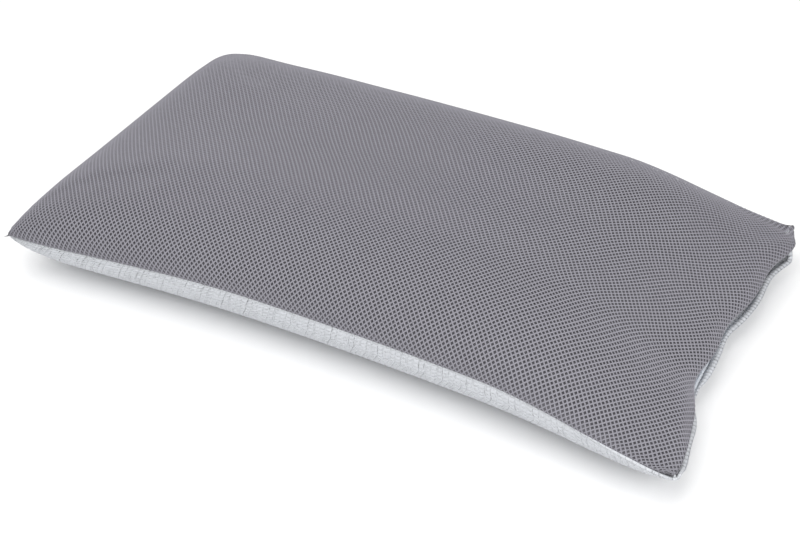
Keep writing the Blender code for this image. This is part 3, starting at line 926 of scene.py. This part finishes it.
def pocketBack(edge, v, side):
    # Where a rim's turned-in cloth ends: on the zip tape, and joined to the other rim's past it.
    opened = openShare(v)
    halfOpening, clearance = zipFastener["openingHeight"] / 2, zipFastener["clearance"]
    past = ease((np.abs(edge[:, 1]) - zipFastener["tapeHalf"]) / zipFastener["joinsOver"])
    middle = seamHeight(np.ones_like(v), v) - halfOpening * opened
    back = edge.copy()
    inner = edge[:, 0] - zipFastener["tuckedIn"]
    back[:, 0] = inner + (zipFastener["tapeOuter"] + clearance - inner) * ease(2 * opened)
    back[:, 2] = middle + side * (halfOpening - clearance) * opened * (1 - past)
    return back


def buildMeshPanel():
    u, v, repeats = netLattice()
    points = topSurface(u, v)
    normals = gridNormals(points)
    flat = flatPlaces(u, netCloth["pitchU"] / 2, netCloth["pitchV"] / 2)
    netPoints, faces, netFlat = onlyUsed(*netFaces(points, normals, flat))
    net = addPiece("mesh_net", netPoints, faces, finishes["meshYarn"], cloth=netFlat)
    finishPiece(net, "cover", "spacer_mesh", "mesh_top_panel")
    print(f"  net of {repeats[0]} by {repeats[1]} repeats, {len(faces)} faces")

    i, j = np.indices(u.shape)
    fromEdge = np.minimum(np.minimum(i, i[-1, 0] - i), np.minimum(j, j[0, -1] - j))
    behindHem, depth = netCloth["hemBehind"], netCloth["backingDepth"]
    deep = behindHem + (depth - behindHem) * ease(fromEdge / netCloth["backingRows"])
    behind = (points - normals * deep[..., None])[::2, ::2]
    index = np.arange(behind[..., 0].size).reshape(behind.shape[:2])
    backing = addPiece("mesh_backing", behind, gridFaces(index), finishes["meshBacking"],
                       cloth=flat[::2, ::2])
    finishPiece(backing, "cover", "spacer_mesh")

    edge, outward = borderOf(points), outwardOf(borderOf(normals))
    opening = borderOf(np.where(u >= 1, openShare(v), 0.0))[:, None]
    inner = edge - outward * depth + straightUp * netCloth["hemTurn"][0][1]
    reaches = np.minimum(zipFastener["joinPace"] * opening, 1.0)
    last = inner + (pocketBack(edge, borderOf(v), 1) - inner) * reaches
    foldIn, foldDown = netCloth["hemFold"]
    fold = edge - outward * foldIn - straightUp * foldDown
    rows = [edge - outward * behindHem * share + straightUp * height
            for share, height in netCloth["hemTurn"]]
    rows += [fold, (fold + last) / 2 - straightUp * foldDown * opening, last]
    # the hem's dark finish is painted shade along the seam and in the zip pocket
    hem = addPiece("mesh_hem", *loopStrip(rows, flip=True), finishes["meshHem"],
                   cloth=stripPlaces(rows))
    finishPiece(hem, "cover", "spacer_mesh")


buildMeshPanel()
print("mesh panel done")


# The white knit underneath.

knitCloth = {
    "steps": (300, 156),
    "lip": 0.0036,              # how far the knit stands out beyond the mesh at the ears
    "lipBack": 0.0006,
    "zipLip": 0.0105,           # and beyond its own edge under the zip
    "zipLipFold": 1.10,         # less this share of each fold's pull
    "zipLipLeast": 0.0010,
    "lipFrom": 0.205,           # along the sides it tapers away to here
    "lipAcross": 0.8,           # and to this station of v
    "lipHeight": 0.011,
    "rollShare": 0.45,          # radius of the rolled edge over the lip
    "rollRadius": 0.0005,       # where there is no lip
    "rollMost": 0.0015,
    "rollMostZip": 0.0030,
    "rollSteps": 7,
    "rollSink": 0.6,            # of its radius under the edge
    "tuck": 0.0034,
    "tuckDown": (0.0015, 0.0004),   # without a lip and with a full one
    "shelf": 0.0004,            # the turned-in cloth under the zip bulges up by this
    "rowStep": 0.0004,
}


def lippedUnder(u, v):
    # The knit, drawn out past the mesh at the ears.
    points = underSurface(u, v)
    x, z = points[..., 0], points[..., 2]
    endRim = underForm(np.ones_like(u), v)[..., 2]
    sideRim = underForm(u, np.where(v < 0, -1.0, 1.0))[..., 2]
    height = knitCloth["lipHeight"]
    atEnd = ease(1 - (endRim - z) / height) * nearZipEnd(x) * (u > 0)
    across = ease((np.abs(v) - knitCloth["lipAcross"]) / (1 - knitCloth["lipAcross"]))
    atSide = ease(1 - (sideRim - z) / height) * across
    reach = form["halfLength"] - knitCloth["lipFrom"]
    closedLip = np.where(v < 0, knitCloth["lip"], knitCloth["lipBack"])
    sideLip = closedLip * ease((x - knitCloth["lipFrom"]) / reach)
    underZip = knitCloth["zipLip"] - knitCloth["zipLipFold"] * foldPull(
        np.full_like(v, form["halfLength"]), points[..., 1])
    underZip = np.maximum(underZip, knitCloth["zipLipLeast"])
    endLip = underZip * openShare(v) + closedLip * (1 - openShare(v))
    moved = points.copy()
    moved[..., 0] += endLip * atEnd
    moved[..., 1] += np.sign(v) * sideLip * atSide
    return moved, np.maximum(endLip * (u >= 1), sideLip * (np.abs(v) >= 1))


def buildKnitPanel():
    u, v = evenLattice(underForm, *knitCloth["steps"])
    points, lips = lippedUnder(u, v)
    normals = gridNormals(points, facing=-1.0)
    lengthU = np.linalg.norm(np.diff(points[:, points.shape[1] // 2], axis=0), axis=1).mean()
    lengthV = np.linalg.norm(np.diff(points[points.shape[0] // 2], axis=0), axis=1).mean()
    flat = flatPlaces(u, lengthU, lengthV)
    lozenge = np.abs(np.cos(2 * np.pi * flat[..., 0] / embossing["repeatX"])
                     * np.cos(2 * np.pi * flat[..., 1] / embossing["repeatY"]))
    resting = underDepth(u, v) >= 1.0
    sunk = np.where(resting, 0.0, embossing["depth"] * (1 - lozenge ** embossing["power"]))
    sunk[[0, -1]] = 0.0
    sunk[:, [0, -1]] = 0.0
    points = points - normals * sunk[..., None]

    edge, outward = borderOf(points), outwardOf(borderOf(normals))
    lip = borderOf(lips)[:, None]
    opening = borderOf(np.where(u >= 1, openShare(v), 0.0))[:, None]
    most = knitCloth["rollMost"] + (knitCloth["rollMostZip"] - knitCloth["rollMost"]) * opening
    radius = np.minimum(knitCloth["rollRadius"] + knitCloth["rollShare"] * lip, most)
    centre = edge - outward * radius - straightUp * radius * knitCloth["rollSink"]
    rows = []
    for turn in np.linspace(0, math.pi, knitCloth["rollSteps"])[1:]:
        rows.append(centre + radius * (math.cos(turn) * outward + math.sin(turn) * straightUp))
    down, downAtLip = knitCloth["tuckDown"]
    down = down + (downAtLip - down) * np.minimum(lip / knitCloth["lip"], 1.0)
    tucked = edge - outward * (2 * radius + knitCloth["tuck"]) - straightUp * down
    back = pocketBack(edge, borderOf(v), -1)
    last = tucked + (back - tucked) * np.minimum(zipFastener["joinPace"] * opening, 1.0)
    shelf = knitCloth["shelf"] * np.minimum(zipFastener["joinPace"] * opening, 1.0)
    rows += [(rows[-1] + last) / 2 + straightUp * shelf, last]

    index = np.arange(points[..., 0].size).reshape(points.shape[:2])
    panelFaces = gridFaces(index, flip=True).tolist()
    around = borderOf(index)
    count = len(around)
    for i in range(count):
        k = (i + 1) % count
        panelFaces.append((around[i], around[k], index.size + k, index.size + i))
    stripPoints, stripFaces = loopStrip(rows)
    allFaces = panelFaces + [tuple(n + index.size for n in face) for face in stripFaces]
    rolledFlat = np.concatenate([borderOf(flat) + (0.0, knitCloth["rowStep"] * (r + 1))
                                 for r in range(len(rows))])
    knit = addPiece("knit_underside", np.concatenate((points.reshape(-1, 3), stripPoints)),
                    allFaces, finishes["whiteKnit"],
                    cloth=np.concatenate((flat.reshape(-1, 2), rolledFlat)))
    finishPiece(knit, "cover", "knit", "knit_bottom_panel")


buildKnitPanel()
print("knit panel done")


# The zip: woven tapes, running stitches, two sewn coils, stops, slider and pull.

zipLooks = {
    "wire": 0.00027,            # radius of the coil's nylon
    "pitch": 0.00125,           # along the chain, from one turn to the next
    "turnPoints": 10,
    "headFlat": 0.15,           # each turn's head is flattened by this share
    "stitchLength": 0.0026,
    "stitchSpace": 0.0008,
    "stitchRadius": 0.00022,
    "stitchOut": 0.4,           # its middle lies out of the tape by this share of its radius,
    "stitchDip": 0.00008,       # less this at its ends
    "stitchRise": 0.00022,      # and more by this at its middle
    "stitchStray": 0.00010,     # up or down, and how often along the zip
    "strayWaves": 1700,
    "coilStitch": 0.0021,       # the thread that sews the coil down
    "coilStitchRadius": 0.00012,
    "coilStitchFill": 0.8,      # its length over one stitch
    "coilStitchHeight": 0.35,   # over the coil's own radius
    "coilStitchArch": 0.0001,
    "coilStitchSink": 0.6,      # of the wire's radius
    "stopRadius": 0.0004,
    "tapeSteps": (220, 8),
    "ripple": 0.00006,          # of the tape, and its wavelength
    "rippleLength": 0.021,
}
sharpFrom = math.radians(40)


def pieceFrom(bm, name, material):
    mesh = bpy.data.meshes.new(name)
    bm.to_mesh(mesh)
    bm.free()
    mesh.shade_smooth()
    mesh.set_sharp_from_angle(angle=sharpFrom)
    mesh.materials.append(material)
    return linked(name, mesh)


def block(low, high, name, material, softness=0.0):
    # Its edges are rounded by the softness.
    low, high = Vector(low), Vector(high)
    bm = bmesh.new()
    made = bmesh.ops.create_cube(bm, size=1.0)["verts"]
    bmesh.ops.scale(bm, vec=high - low, verts=made)
    bmesh.ops.translate(bm, vec=(low + high) / 2, verts=made)
    if softness:
        bmesh.ops.bevel(bm, geom=bm.edges[:], offset=softness, segments=3, profile=0.5,
                        affect="EDGES")
    return pieceFrom(bm, name, material)


def tapeOutline(node):
    # The tape's ends and edges, read from the frame's own tape.
    corners = {(round(v.co.y, 6), round(v.co.z, 6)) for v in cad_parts[node].data.vertices}
    zs = sorted({z for y, z in corners})
    low, high = zs[0], zs[-1]
    return low, high, max(y for y, z in corners if z == low), max(
        y for y, z in corners if z == high)


def buildTape(node, name):
    # A thin woven band with a faint ripple along it.
    low, high, halfLow, halfHigh = tapeOutline(node)
    stepsAlong, stepsUp = zipLooks["tapeSteps"]
    y, t = np.meshgrid(np.linspace(-1, 1, stepsAlong + 1), np.linspace(0, 1, stepsUp + 1),
                       indexing="ij")
    z = low + (high - low) * t
    half = halfLow + (halfHigh - halfLow) * t
    ripple = zipLooks["ripple"] * (np.sin(y * half * 2 * math.pi / zipLooks["rippleLength"]) - 1)
    outer = np.stack((zipFastener["tapeOuter"] + ripple, y * half, z), axis=-1)
    inner = outer.copy()
    inner[..., 0] -= zipFastener["tapeOuter"] - zipFastener["tapeInner"] - zipLooks["ripple"]
    index = np.arange(z.size).reshape(z.shape)
    around = borderOf(index)
    faces = gridFaces(index).tolist() + gridFaces(index + index.size, flip=True).tolist()
    for i in range(len(around)):
        k = (i + 1) % len(around)
        faces.append((around[k], around[i], around[i] + index.size, around[k] + index.size))
    flat = np.stack((outer[..., 1], outer[..., 2]), axis=-1).reshape(-1, 2)
    tape = addPiece(name, np.concatenate((outer.reshape(-1, 3), inner.reshape(-1, 3))), faces,
                    finishes["zipTape"], cloth=np.concatenate((flat, flat)))
    tape.data.set_sharp_from_angle(angle=math.radians(50))
    finishPiece(tape, "cover", "zip_tape", node)


def buildCoil(node, side):
    low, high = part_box(node)
    wire = zipLooks["wire"]
    middleX, middleZ = (low.x + high.x) / 2, (low.z + high.z) / 2
    radiusX, radiusZ = (high.x - low.x) / 2 - wire, (high.z - low.z) / 2 - wire
    turns = int((high.y - low.y - 2 * wire) / zipLooks["pitch"])
    angle = np.linspace(0, turns * 2 * math.pi, turns * zipLooks["turnPoints"] + 1)
    y = low.y + wire + angle / (2 * math.pi) * zipLooks["pitch"]
    headward = np.clip(-side * np.sin(angle), 0, 1)
    flattened = 1 - zipLooks["headFlat"] * headward
    path = np.stack((middleX + radiusX * np.cos(angle) * flattened,
                     y, middleZ + radiusZ * np.sin(angle)), axis=1)
    coil = sweep(path, circle(wire, 6), start=(0, 1, 0))
    # a cord runs inside the turns, and the sewing thread crosses them
    cord = sweep([(middleX, low.y, middleZ), (middleX, high.y, middleZ)],
                 circle(radiusZ - wire, 8))
    stitches = []
    t = np.linspace(0, 1, 6)
    stitch, radius = zipLooks["coilStitch"], zipLooks["coilStitchRadius"]
    across = np.full(6, middleZ + side * radiusZ * zipLooks["coilStitchHeight"])
    arch = high.x - wire * zipLooks["coilStitchSink"] + zipLooks["coilStitchArch"] * np.sin(
        t * math.pi)
    for place in np.arange(low.y + 0.001, high.y - 0.001, stitch):
        hop = np.stack((arch, place + t * stitch * zipLooks["coilStitchFill"], across), axis=1)
        stitches.append(sweep(hop, circle(radius, 5)))
    word = "upper" if side > 0 else "lower"
    piece = addPiece(f"zip_coil_turns_{word}", *merged([coil, cord]), finishes["coilNylon"])
    finishPiece(piece, "cover", "zip_coil", node)
    thread = addPiece(f"zip_coil_sewing_{word}", *merged(stitches), finishes["thread"])
    finishPiece(thread, "cover", "thread")


def buildStitching(node, name):
    low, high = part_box(node)
    length, radius = zipLooks["stitchLength"], zipLooks["stitchRadius"]
    x = zipFastener["tapeOuter"] + radius * zipLooks["stitchOut"] - zipLooks["stitchDip"]
    z = (low.z + high.z) / 2
    t = np.linspace(0, 1, 8)
    parts = []
    for start in np.arange(low.y, high.y - length, length + zipLooks["stitchSpace"]):
        stray = zipLooks["stitchStray"] * np.sin(start * zipLooks["strayWaves"])
        path = np.stack((x + zipLooks["stitchRise"] * np.sin(t * math.pi), start + t * length,
                         np.full(8, z + stray)), axis=1)
        parts.append(sweep(path, circle(radius, 7)))
    finishPiece(addPiece(name, *merged(parts), finishes["thread"]), "cover", "thread", node)


def buildStop(node, name):
    low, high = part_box(node)
    stop = block(low, high, name, finishes["coilNylon"], zipLooks["stopRadius"])
    finishPiece(stop, "cover", "zip_coil", node)


buildTape("zip_tape_upper", "zip_tape_woven_upper")
buildTape("zip_tape_lower", "zip_tape_woven_lower")
buildCoil("zip_coil_upper", 1)
buildCoil("zip_coil_lower", -1)
buildStitching("zip_stitching_upper", "zip_running_stitch_upper")
buildStitching("zip_stitching_lower", "zip_running_stitch_lower")
buildStop("zip_top_stop_upper", "zip_top_stop_moulded_upper")
buildStop("zip_top_stop_lower", "zip_top_stop_moulded_lower")
buildStop("zip_bottom_stop", "zip_bottom_stop_moulded")
print("zip chain done")


sliderLooks = {
    "plate": 0.0009,
    "tail": 0.68,               # width at the pulled-together end over the width at the mouth
    "shoulder": (-0.9, 0.2),    # it widens between these stations of its half length
    "endPower": 12,             # roundness of both ends
    "endKeeps": 0.88,           # and the width that is left there
    "softness": 0.00028,
    "flange": (-0.10, 0.86),    # from and to, over the half length
    "flangeOut": 0.97,
    "divider": (-0.30, 0.80),
    "dividerHalf": 0.00018,
    "bridgeWidth": 0.0016,
    "bridgeBar": 0.0008,
    "bridgeHalf": 0.0030,
    "gap": 0.0003,
}
pullLooks = {
    "length": 0.0220,
    "width": 0.0060,
    "thickness": 0.0010,
    "eye": 0.0040,
    "eyeHalf": 0.00115,
    "neck": 0.0044,             # width at the eye
    "shoulder": (0.6, 1.5),     # it widens between these, over the eye's length
    "ridges": 5,                # grip ridges on both faces near the tip
    "ridgeFrom": 0.9,
    "ridgePitch": 0.0016,
    "ridgeHalf": 0.0018,
    "ridgeRadius": 0.00020,
    "softness": 0.00022,
}


def plateOutline(halfLength, halfHeight):
    # Seen along X: wide shoulders at the mouth, drawn in at the tail.
    t = np.linspace(-1, 1, 15)
    tail, (first, last), keeps = (sliderLooks[key] for key in ("tail", "shoulder", "endKeeps"))
    width = halfHeight * (tail + (1 - tail) * ease((t - first) / (last - first)))
    width *= fall(t, (sliderLooks["endPower"], 0.5)) * (1 - keeps) + keeps
    upper = list(zip(t * halfLength, width))
    return upper + [(y, -z) for y, z in reversed(upper)]


def extrudedPlate(outline, lowX, highX, name, material, softness):
    bm = bmesh.new()
    first = bm.faces.new([bm.verts.new((lowX, y, z)) for y, z in outline])
    pushed = bmesh.ops.extrude_face_region(bm, geom=[first])["geom"]
    moved = [item for item in pushed if isinstance(item, bmesh.types.BMVert)]
    bmesh.ops.translate(bm, vec=(highX - lowX, 0, 0), verts=moved)
    bmesh.ops.recalc_face_normals(bm, faces=bm.faces)
    rims = [e for e in bm.edges if abs(e.verts[0].co.x - e.verts[1].co.x) < 1e-7]
    bmesh.ops.bevel(bm, geom=rims, offset=softness, segments=3, affect="EDGES")
    return pieceFrom(bm, name, material)


def joined(name, pieces):
    bm = bmesh.new()
    for piece in pieces:
        bm.from_mesh(piece.data)
    whole = pieceFrom(bm, name, pieces[0].data.materials[0])
    for piece in pieces:
        bpy.data.objects.remove(piece)
    return whole


def buildSlider():
    low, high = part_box("zip_slider")
    middle = (low + high) / 2
    halfLength, halfHeight = (high.y - low.y) / 2, (high.z - low.z) / 2
    looks, nickel = sliderLooks, finishes["zipNickel"]
    plate, gap, y, z = looks["plate"], looks["gap"], middle.y, middle.z
    frontIn = coilHigh.x + gap
    frontMiddle = frontIn + plate / 2
    outline = [(y + a, z + b) for a, b in plateOutline(halfLength, halfHeight)]
    parts = [extrudedPlate(outline, x, x + plate, name, nickel, looks["softness"])
             for x, name in ((frontIn, "front"), (low.x, "back"))]
    # flanges that wrap the coils' outer sides, straight where the coils run
    start, end = (y + halfLength * share for share in looks["flange"])
    for side in (-1, 1):
        flange = block((zipFastener["tapeOuter"] + gap, start, 0), (frontMiddle, end, 1),
                       "flange", nickel)
        inner, outer = halfHeight - plate, halfHeight * looks["flangeOut"]
        for vertex in flange.data.vertices:
            vertex.co.z = z + side * (inner if vertex.co.z < 0.5 else outer)
        if side < 0:
            flange.data.flip_normals()
        parts.append(flange)
    start, end = (y + halfLength * share for share in looks["divider"])
    half = looks["dividerHalf"]
    parts.append(block((low.x + plate / 2, start, z - half), (frontMiddle, end, z + half),
                       "divider", nickel))
    # the bridge is one bent strap over the pull's bar
    halfWide, halfThick = looks["bridgeWidth"] / 2, looks["bridgeBar"] / 2
    outX, footX = high.x - halfThick, frontIn + plate * 0.6
    turn = np.linspace(0, math.pi, 13)
    arch = np.sin(turn) ** 0.35
    path = np.stack((footX + (outX - footX) * arch,
                     y - (looks["bridgeHalf"] - halfThick) * np.cos(turn),
                     np.full_like(turn, z)), axis=1)
    turn = np.arange(12) * math.pi / 6
    rounded = np.stack((np.cos(turn), np.sin(turn)), axis=1)
    section = np.sign(rounded) * np.sqrt(np.abs(rounded)) * (halfThick, halfWide)
    parts.append(addPiece("strap", *sweep(path, section), nickel))
    finishPiece(joined("zip_slider_body", parts), "slider", "zip_metal", "zip_slider")


def buildPull():
    low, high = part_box("zip_pull")
    looks, nickel = pullLooks, finishes["zipNickel"]
    pin = Vector((low.x + high.x, 2 * high.y - looks["thickness"], low.z + high.z)) / 2
    half, tip, neck = looks["thickness"] / 2, looks["width"] / 2, looks["neck"] / 2
    end = -looks["length"]
    slim, full = (-looks["eye"] * share for share in looks["shoulder"])
    # outer outline, from the bar round the tip and back
    outline = [(half, neck), (half, -neck), (slim, -neck), (full, -tip)]
    for angle in np.linspace(-math.pi / 2, -3 * math.pi / 2, 15):
        outline.append((end + tip + tip * math.cos(angle), tip * math.sin(angle)))
    outline += [(full, tip), (slim, neck)]
    outline = [(pin.y + a, pin.z + b) for a, b in outline]
    bar = extrudedPlate(outline, pin.x - half, pin.x + half, "bar", nickel, looks["softness"])
    cutter = block((pin.x - 1, pin.y - looks["eye"], pin.z - looks["eyeHalf"]),
                   (pin.x + 1, pin.y - half, pin.z + looks["eyeHalf"]), "cutter", nickel)
    cut = bar.modifiers.new("eye", "BOOLEAN")
    cut.operation, cut.object, cut.solver = "DIFFERENCE", cutter, "EXACT"
    evaluated = bar.evaluated_get(bpy.context.evaluated_depsgraph_get())
    whole = bpy.data.meshes.new_from_object(evaluated)
    bar.modifiers.clear()
    bar.data = whole
    bpy.data.objects.remove(cutter)
    parts = [bar]
    for i in range(looks["ridges"]):
        y = pin.y + end + tip * looks["ridgeFrom"] + i * looks["ridgePitch"]
        for side in (-1, 1):
            path = [(pin.x + side * half, y, pin.z + reach)
                    for reach in (-looks["ridgeHalf"], looks["ridgeHalf"])]
            ridge = sweep(path, circle(looks["ridgeRadius"], 8), start=(0, 1, 0))
            parts.append(addPiece("ridge", *ridge, nickel))
    finishPiece(joined("zip_pull_tab", parts), "pull", "zip_metal", "zip_pull")


buildSlider()
buildPull()
print("slider and pull done")


# Inside: the foam core in its jersey liner, the overlocked seam allowance, a blank label.

coreCloth = {
    "steps": (150, 92),
    "endProfile": (7.0, 0.5),
    "crownEase": 0.0024,
    "linerThickness": 0.0010,
    "layerGap": 0.0004,
    "linerInset": 0.0050,
    "knitThickness": 0.0015,
    "quiver": 0.00025,          # unevenness of the moulded foam
    "quiverWaves": (90, 70),
    "jerseySteps": (0.0043, 0.0041),
}


def cavityStation(x, inset):
    # The cavity's u over this x.
    stations = np.linspace(0, 1, 2001)
    reach = form["halfLength"] - inset
    places = stations * reach - (reach - cavityEnd) * stations ** form["endPower"]
    return np.interp(x, places, stations)


def fillingForm(u, v, inset, topInset, bottom, endX, upward):
    x, y = planOf(u, v, inset, endX)
    over = np.where(u > 0, cavityStation(x, inset), u)
    closing = np.where(u > 0, fall(u, coreCloth["endProfile"]), 1.0)
    edge = seamHeight(over, v)
    if upward:
        rise = form["crown"] - form["seamMiddle"] - topInset
        z = edge + rise * endFall(over, topProfile) * fall(v, topProfile["side"]) * closing
    else:
        z = edge - (edge - bottom) * underDepth(over, v) * closing
    return np.stack((x, y, z), axis=-1)


def coreLayer(layer, upward):
    # Layer 0 is the liner's outside and 1 the foam's own surface.
    thickness = coreCloth["linerThickness"] + coreCloth["layerGap"]
    inset = coreCloth["linerInset"] + layer * thickness
    topInset = form["meshThickness"] + coreCloth["crownEase"] + layer * thickness
    bottom = coreCloth["knitThickness"] + coreCloth["layerGap"] + layer * thickness
    endX = coreHigh.x + (1 - layer) * thickness
    return lambda u, v: fillingForm(u, v, inset, topInset, bottom, endX, upward)


def buildCore():
    u, v = evenLattice(coreLayer(1, True), *coreCloth["steps"], rounds=4)
    top, under = coreLayer(1, True)(u, v), coreLayer(1, False)(u, v)
    wavesX, wavesY = coreCloth["quiverWaves"]
    quiver = np.sin(wavesX * top[..., 0]) * np.cos(wavesY * top[..., 1])
    top[..., 2] -= coreCloth["quiver"] * (1 + quiver)
    foam = addPiece("foam_block", *closedSkin(top, under)[:2], finishes["foam"])
    finishPiece(foam, "cover", "foam", "foam_core")

    flat = flatPlaces(u, *coreCloth["jerseySteps"])
    index = np.arange(u.size).reshape(u.shape)
    for upward, node in ((True, "liner_upper"), (False, "liner_lower")):
        liner = addPiece(f"{node}_jersey", coreLayer(0, upward)(u, v),
                         gridFaces(index, flip=not upward), finishes["jersey"], cloth=flat)
        thicken(liner, coreCloth["linerThickness"])
        finishPiece(liner, "cover", "jersey", node)


allowance = {
    "height": 0.0060,
    "thickness": 0.0006,
    "inset": 0.0021,
    "drop": 0.0007,             # below the knit's wall
    "end": 0.94,                # station of u where it stops at the zip end
    "steps": 420,
    "rows": (0.0, 0.33, 0.67, 1.0),
    "flatSteps": (0.0018, 0.0020),
    "loopPitch": 0.0030,
    "threadRadius": 0.00022,
}


def allowanceRoute(drop):
    # Down the inside of the knit's wall on three sides, this far below the seam.
    def wall(u, v):
        points = underForm(u, v)
        inward = (form["halfWidth"] - allowance["inset"]) / form["halfWidth"]
        shortened = (form["halfLength"] - allowance["inset"]) / form["halfLength"]
        return points * (shortened, inward, 1.0)

    end, steps = allowance["end"], allowance["steps"]
    along = np.concatenate((np.linspace(end, -1, steps), np.full(steps // 2, -1.0),
                            np.linspace(-1, end, steps)))
    across = np.concatenate((np.full(steps, -1.0), np.linspace(-1, 1, steps // 2 + 2)[1:-1],
                             np.full(steps, 1.0)))
    goal = wall(along, across)[..., 2] - drop
    low, high = np.full(len(along), 0.8), np.ones(len(along))
    for _ in range(24):
        middle = (low + high) / 2
        tooLow = wall(along * middle, across * middle)[..., 2] < goal
        low, high = np.where(tooLow, middle, low), np.where(tooLow, high, middle)
    return wall(along * high, across * high) - (0, 0, allowance["drop"])


def buildAllowance():
    rows = [allowanceRoute(allowance["height"] * share) for share in allowance["rows"]]
    grid = np.stack(rows, axis=1)
    inward = -grid * (1, 1, 0)
    inward /= np.linalg.norm(inward, axis=-1, keepdims=True)
    index = np.arange(grid[..., 0].size).reshape(grid.shape[:2])
    ribbon = addPiece("seam_allowance", grid, gridFaces(index), finishes["zipTape"],
                      cloth=flatPlaces(grid[..., 0], *allowance["flatSteps"]))
    thicken(ribbon, allowance["thickness"])
    finishPiece(ribbon, "cover", "thread", "side_seam_overlock")

    # overlock thread, in slanting loops over the allowance's free edge
    steps = np.linalg.norm(np.diff(rows[2], axis=0), axis=1)
    lengths = np.concatenate(([0], np.cumsum(steps)))
    count = int(lengths[-1] / allowance["loopPitch"] * 4)
    places = np.linspace(0, lengths[-1], count)

    def along(row):
        return np.stack([np.interp(places, lengths, row[:, k]) for k in range(3)], axis=1)

    phase = np.arange(count) % 4
    aside = allowance["thickness"] / 2 + allowance["threadRadius"]
    offset = np.where((phase % 3 == 0)[:, None], aside, -aside)
    path = np.where((phase < 2)[:, None], along(rows[1]), along(rows[3]))
    path += along(inward[:, 2]) * offset
    thread = addPiece("overlock_thread", *sweep(path, circle(allowance["threadRadius"], 5)),
                      finishes["thread"])
    finishPiece(thread, "cover", "thread")


labelLooks = {"steps": (26, 16), "thickness": 0.0004, "curl": 0.0012, "curlShare": 0.7,
              "waves": 260}


def buildLabel():
    low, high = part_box("care_label")
    stepsY, stepsX = labelLooks["steps"]
    y, t = np.meshgrid(np.linspace(low.y, high.y, stepsY + 1), np.linspace(0, 1, stepsX + 1),
                       indexing="ij")
    x = high.x - (high.x - low.x) * t
    z = high.z - (high.z - low.z - labelLooks["thickness"]) * t
    share = labelLooks["curlShare"]
    curl = np.sin(t * math.pi) * (share + (1 - share) * np.cos(y * labelLooks["waves"]))
    z = z - labelLooks["curl"] * curl
    index = np.arange(x.size).reshape(x.shape)
    label = addPiece("care_label_blank", np.stack((x, y, z), axis=-1), gridFaces(index),
                     finishes["labelSatin"], cloth=np.stack((y, t * (high.x - low.x)), axis=-1))
    thicken(label, labelLooks["thickness"])
    finishPiece(label, "cover", "label", "care_label")


buildCore()
buildAllowance()
buildLabel()
print("core, liner, seam allowance and label done")


# Floor, light and camera.

studio = {
    "floor": (0.93, 0.93, 0.93),
    "floorHalf": 6.0,
    "floorDrop": 0.0002,
    "worldStrength": 0.75,
    "lights": [                 # place, size, power
        ((-0.25, -0.70, 1.50), 1.4, 14.0),
        ((1.20, -0.55, 0.60), 1.0, 7.0),
        ((-0.60, 1.10, 1.30), 1.0, 2.5),
    ],
}
view = {
    "target": (0.0, 0.0, 0.040),
    "yaw": 25.208,              # degrees
    "elevation": 35.919,
    "roll": 2.168,
    "distance": 1.302,
    "lens": 67.5,
    "shiftX": -0.0158,
    "shiftY": -0.0454,
}


def buildFloor():
    bm = bmesh.new()
    bmesh.ops.create_grid(bm, x_segments=1, y_segments=1, size=studio["floorHalf"])
    mesh = bpy.data.meshes.new("floor")
    bm.to_mesh(mesh)
    bm.free()
    material, tree, shader = startMaterial("paleFloor")
    shader.inputs["Base Color"].default_value = (*studio["floor"], 1.0)
    shader.inputs["Roughness"].default_value = 0.9
    shader.inputs["Specular IOR Level"].default_value = 0.0
    # from below the floor isn't seen
    nodes, links = tree.nodes, tree.links
    clear, mix = nodes.new("ShaderNodeBsdfTransparent"), nodes.new("ShaderNodeMixShader")
    links.new(nodes.new("ShaderNodeNewGeometry").outputs["Backfacing"], mix.inputs["Fac"])
    links.new(shader.outputs["BSDF"], mix.inputs[1])
    links.new(clear.outputs["BSDF"], mix.inputs[2])
    output = next(node for node in nodes if node.bl_idname == "ShaderNodeOutputMaterial")
    links.new(mix.outputs["Shader"], output.inputs["Surface"])
    mesh.materials.append(material)
    floor = linked("floor", mesh)
    floor.location.z = -studio["floorDrop"]


def buildLights():
    world = bpy.data.worlds.new("softRoom")
    world.use_nodes = True
    background = world.node_tree.nodes["Background"]
    background.inputs["Color"].default_value = (1, 1, 1, 1)
    background.inputs["Strength"].default_value = studio["worldStrength"]
    bpy.context.scene.world = world
    for i, (place, size, power) in enumerate(studio["lights"]):
        light = bpy.data.lights.new(f"softbox{i + 1}", "AREA")
        light.size = size
        light.energy = power
        lamp = linked(f"softbox{i + 1}", light)
        lamp.location = place
        aim = Vector(view["target"]) - Vector(place)
        lamp.rotation_euler = aim.to_track_quat("-Z", "Y").to_euler()


def buildCamera():
    yaw, elevation, roll = (math.radians(view[key]) for key in ("yaw", "elevation", "roll"))
    back = Vector((math.sin(yaw) * math.cos(elevation), -math.cos(yaw) * math.cos(elevation),
                   math.sin(elevation)))
    camera = linked("camera", bpy.data.cameras.new("camera"))
    camera.location = Vector(view["target"]) + back * view["distance"]
    turn = (-back).to_track_quat("-Z", "Y").to_matrix() @ Matrix.Rotation(roll, 3, "Z")
    camera.rotation_euler = turn.to_euler()
    camera.data.lens = view["lens"]
    camera.data.shift_x = view["shiftX"]
    camera.data.shift_y = view["shiftY"]
    bpy.context.scene.camera = camera
    bpy.context.scene.view_settings.view_transform = "Standard"


buildFloor()
buildLights()
buildCamera()
print("studio done")
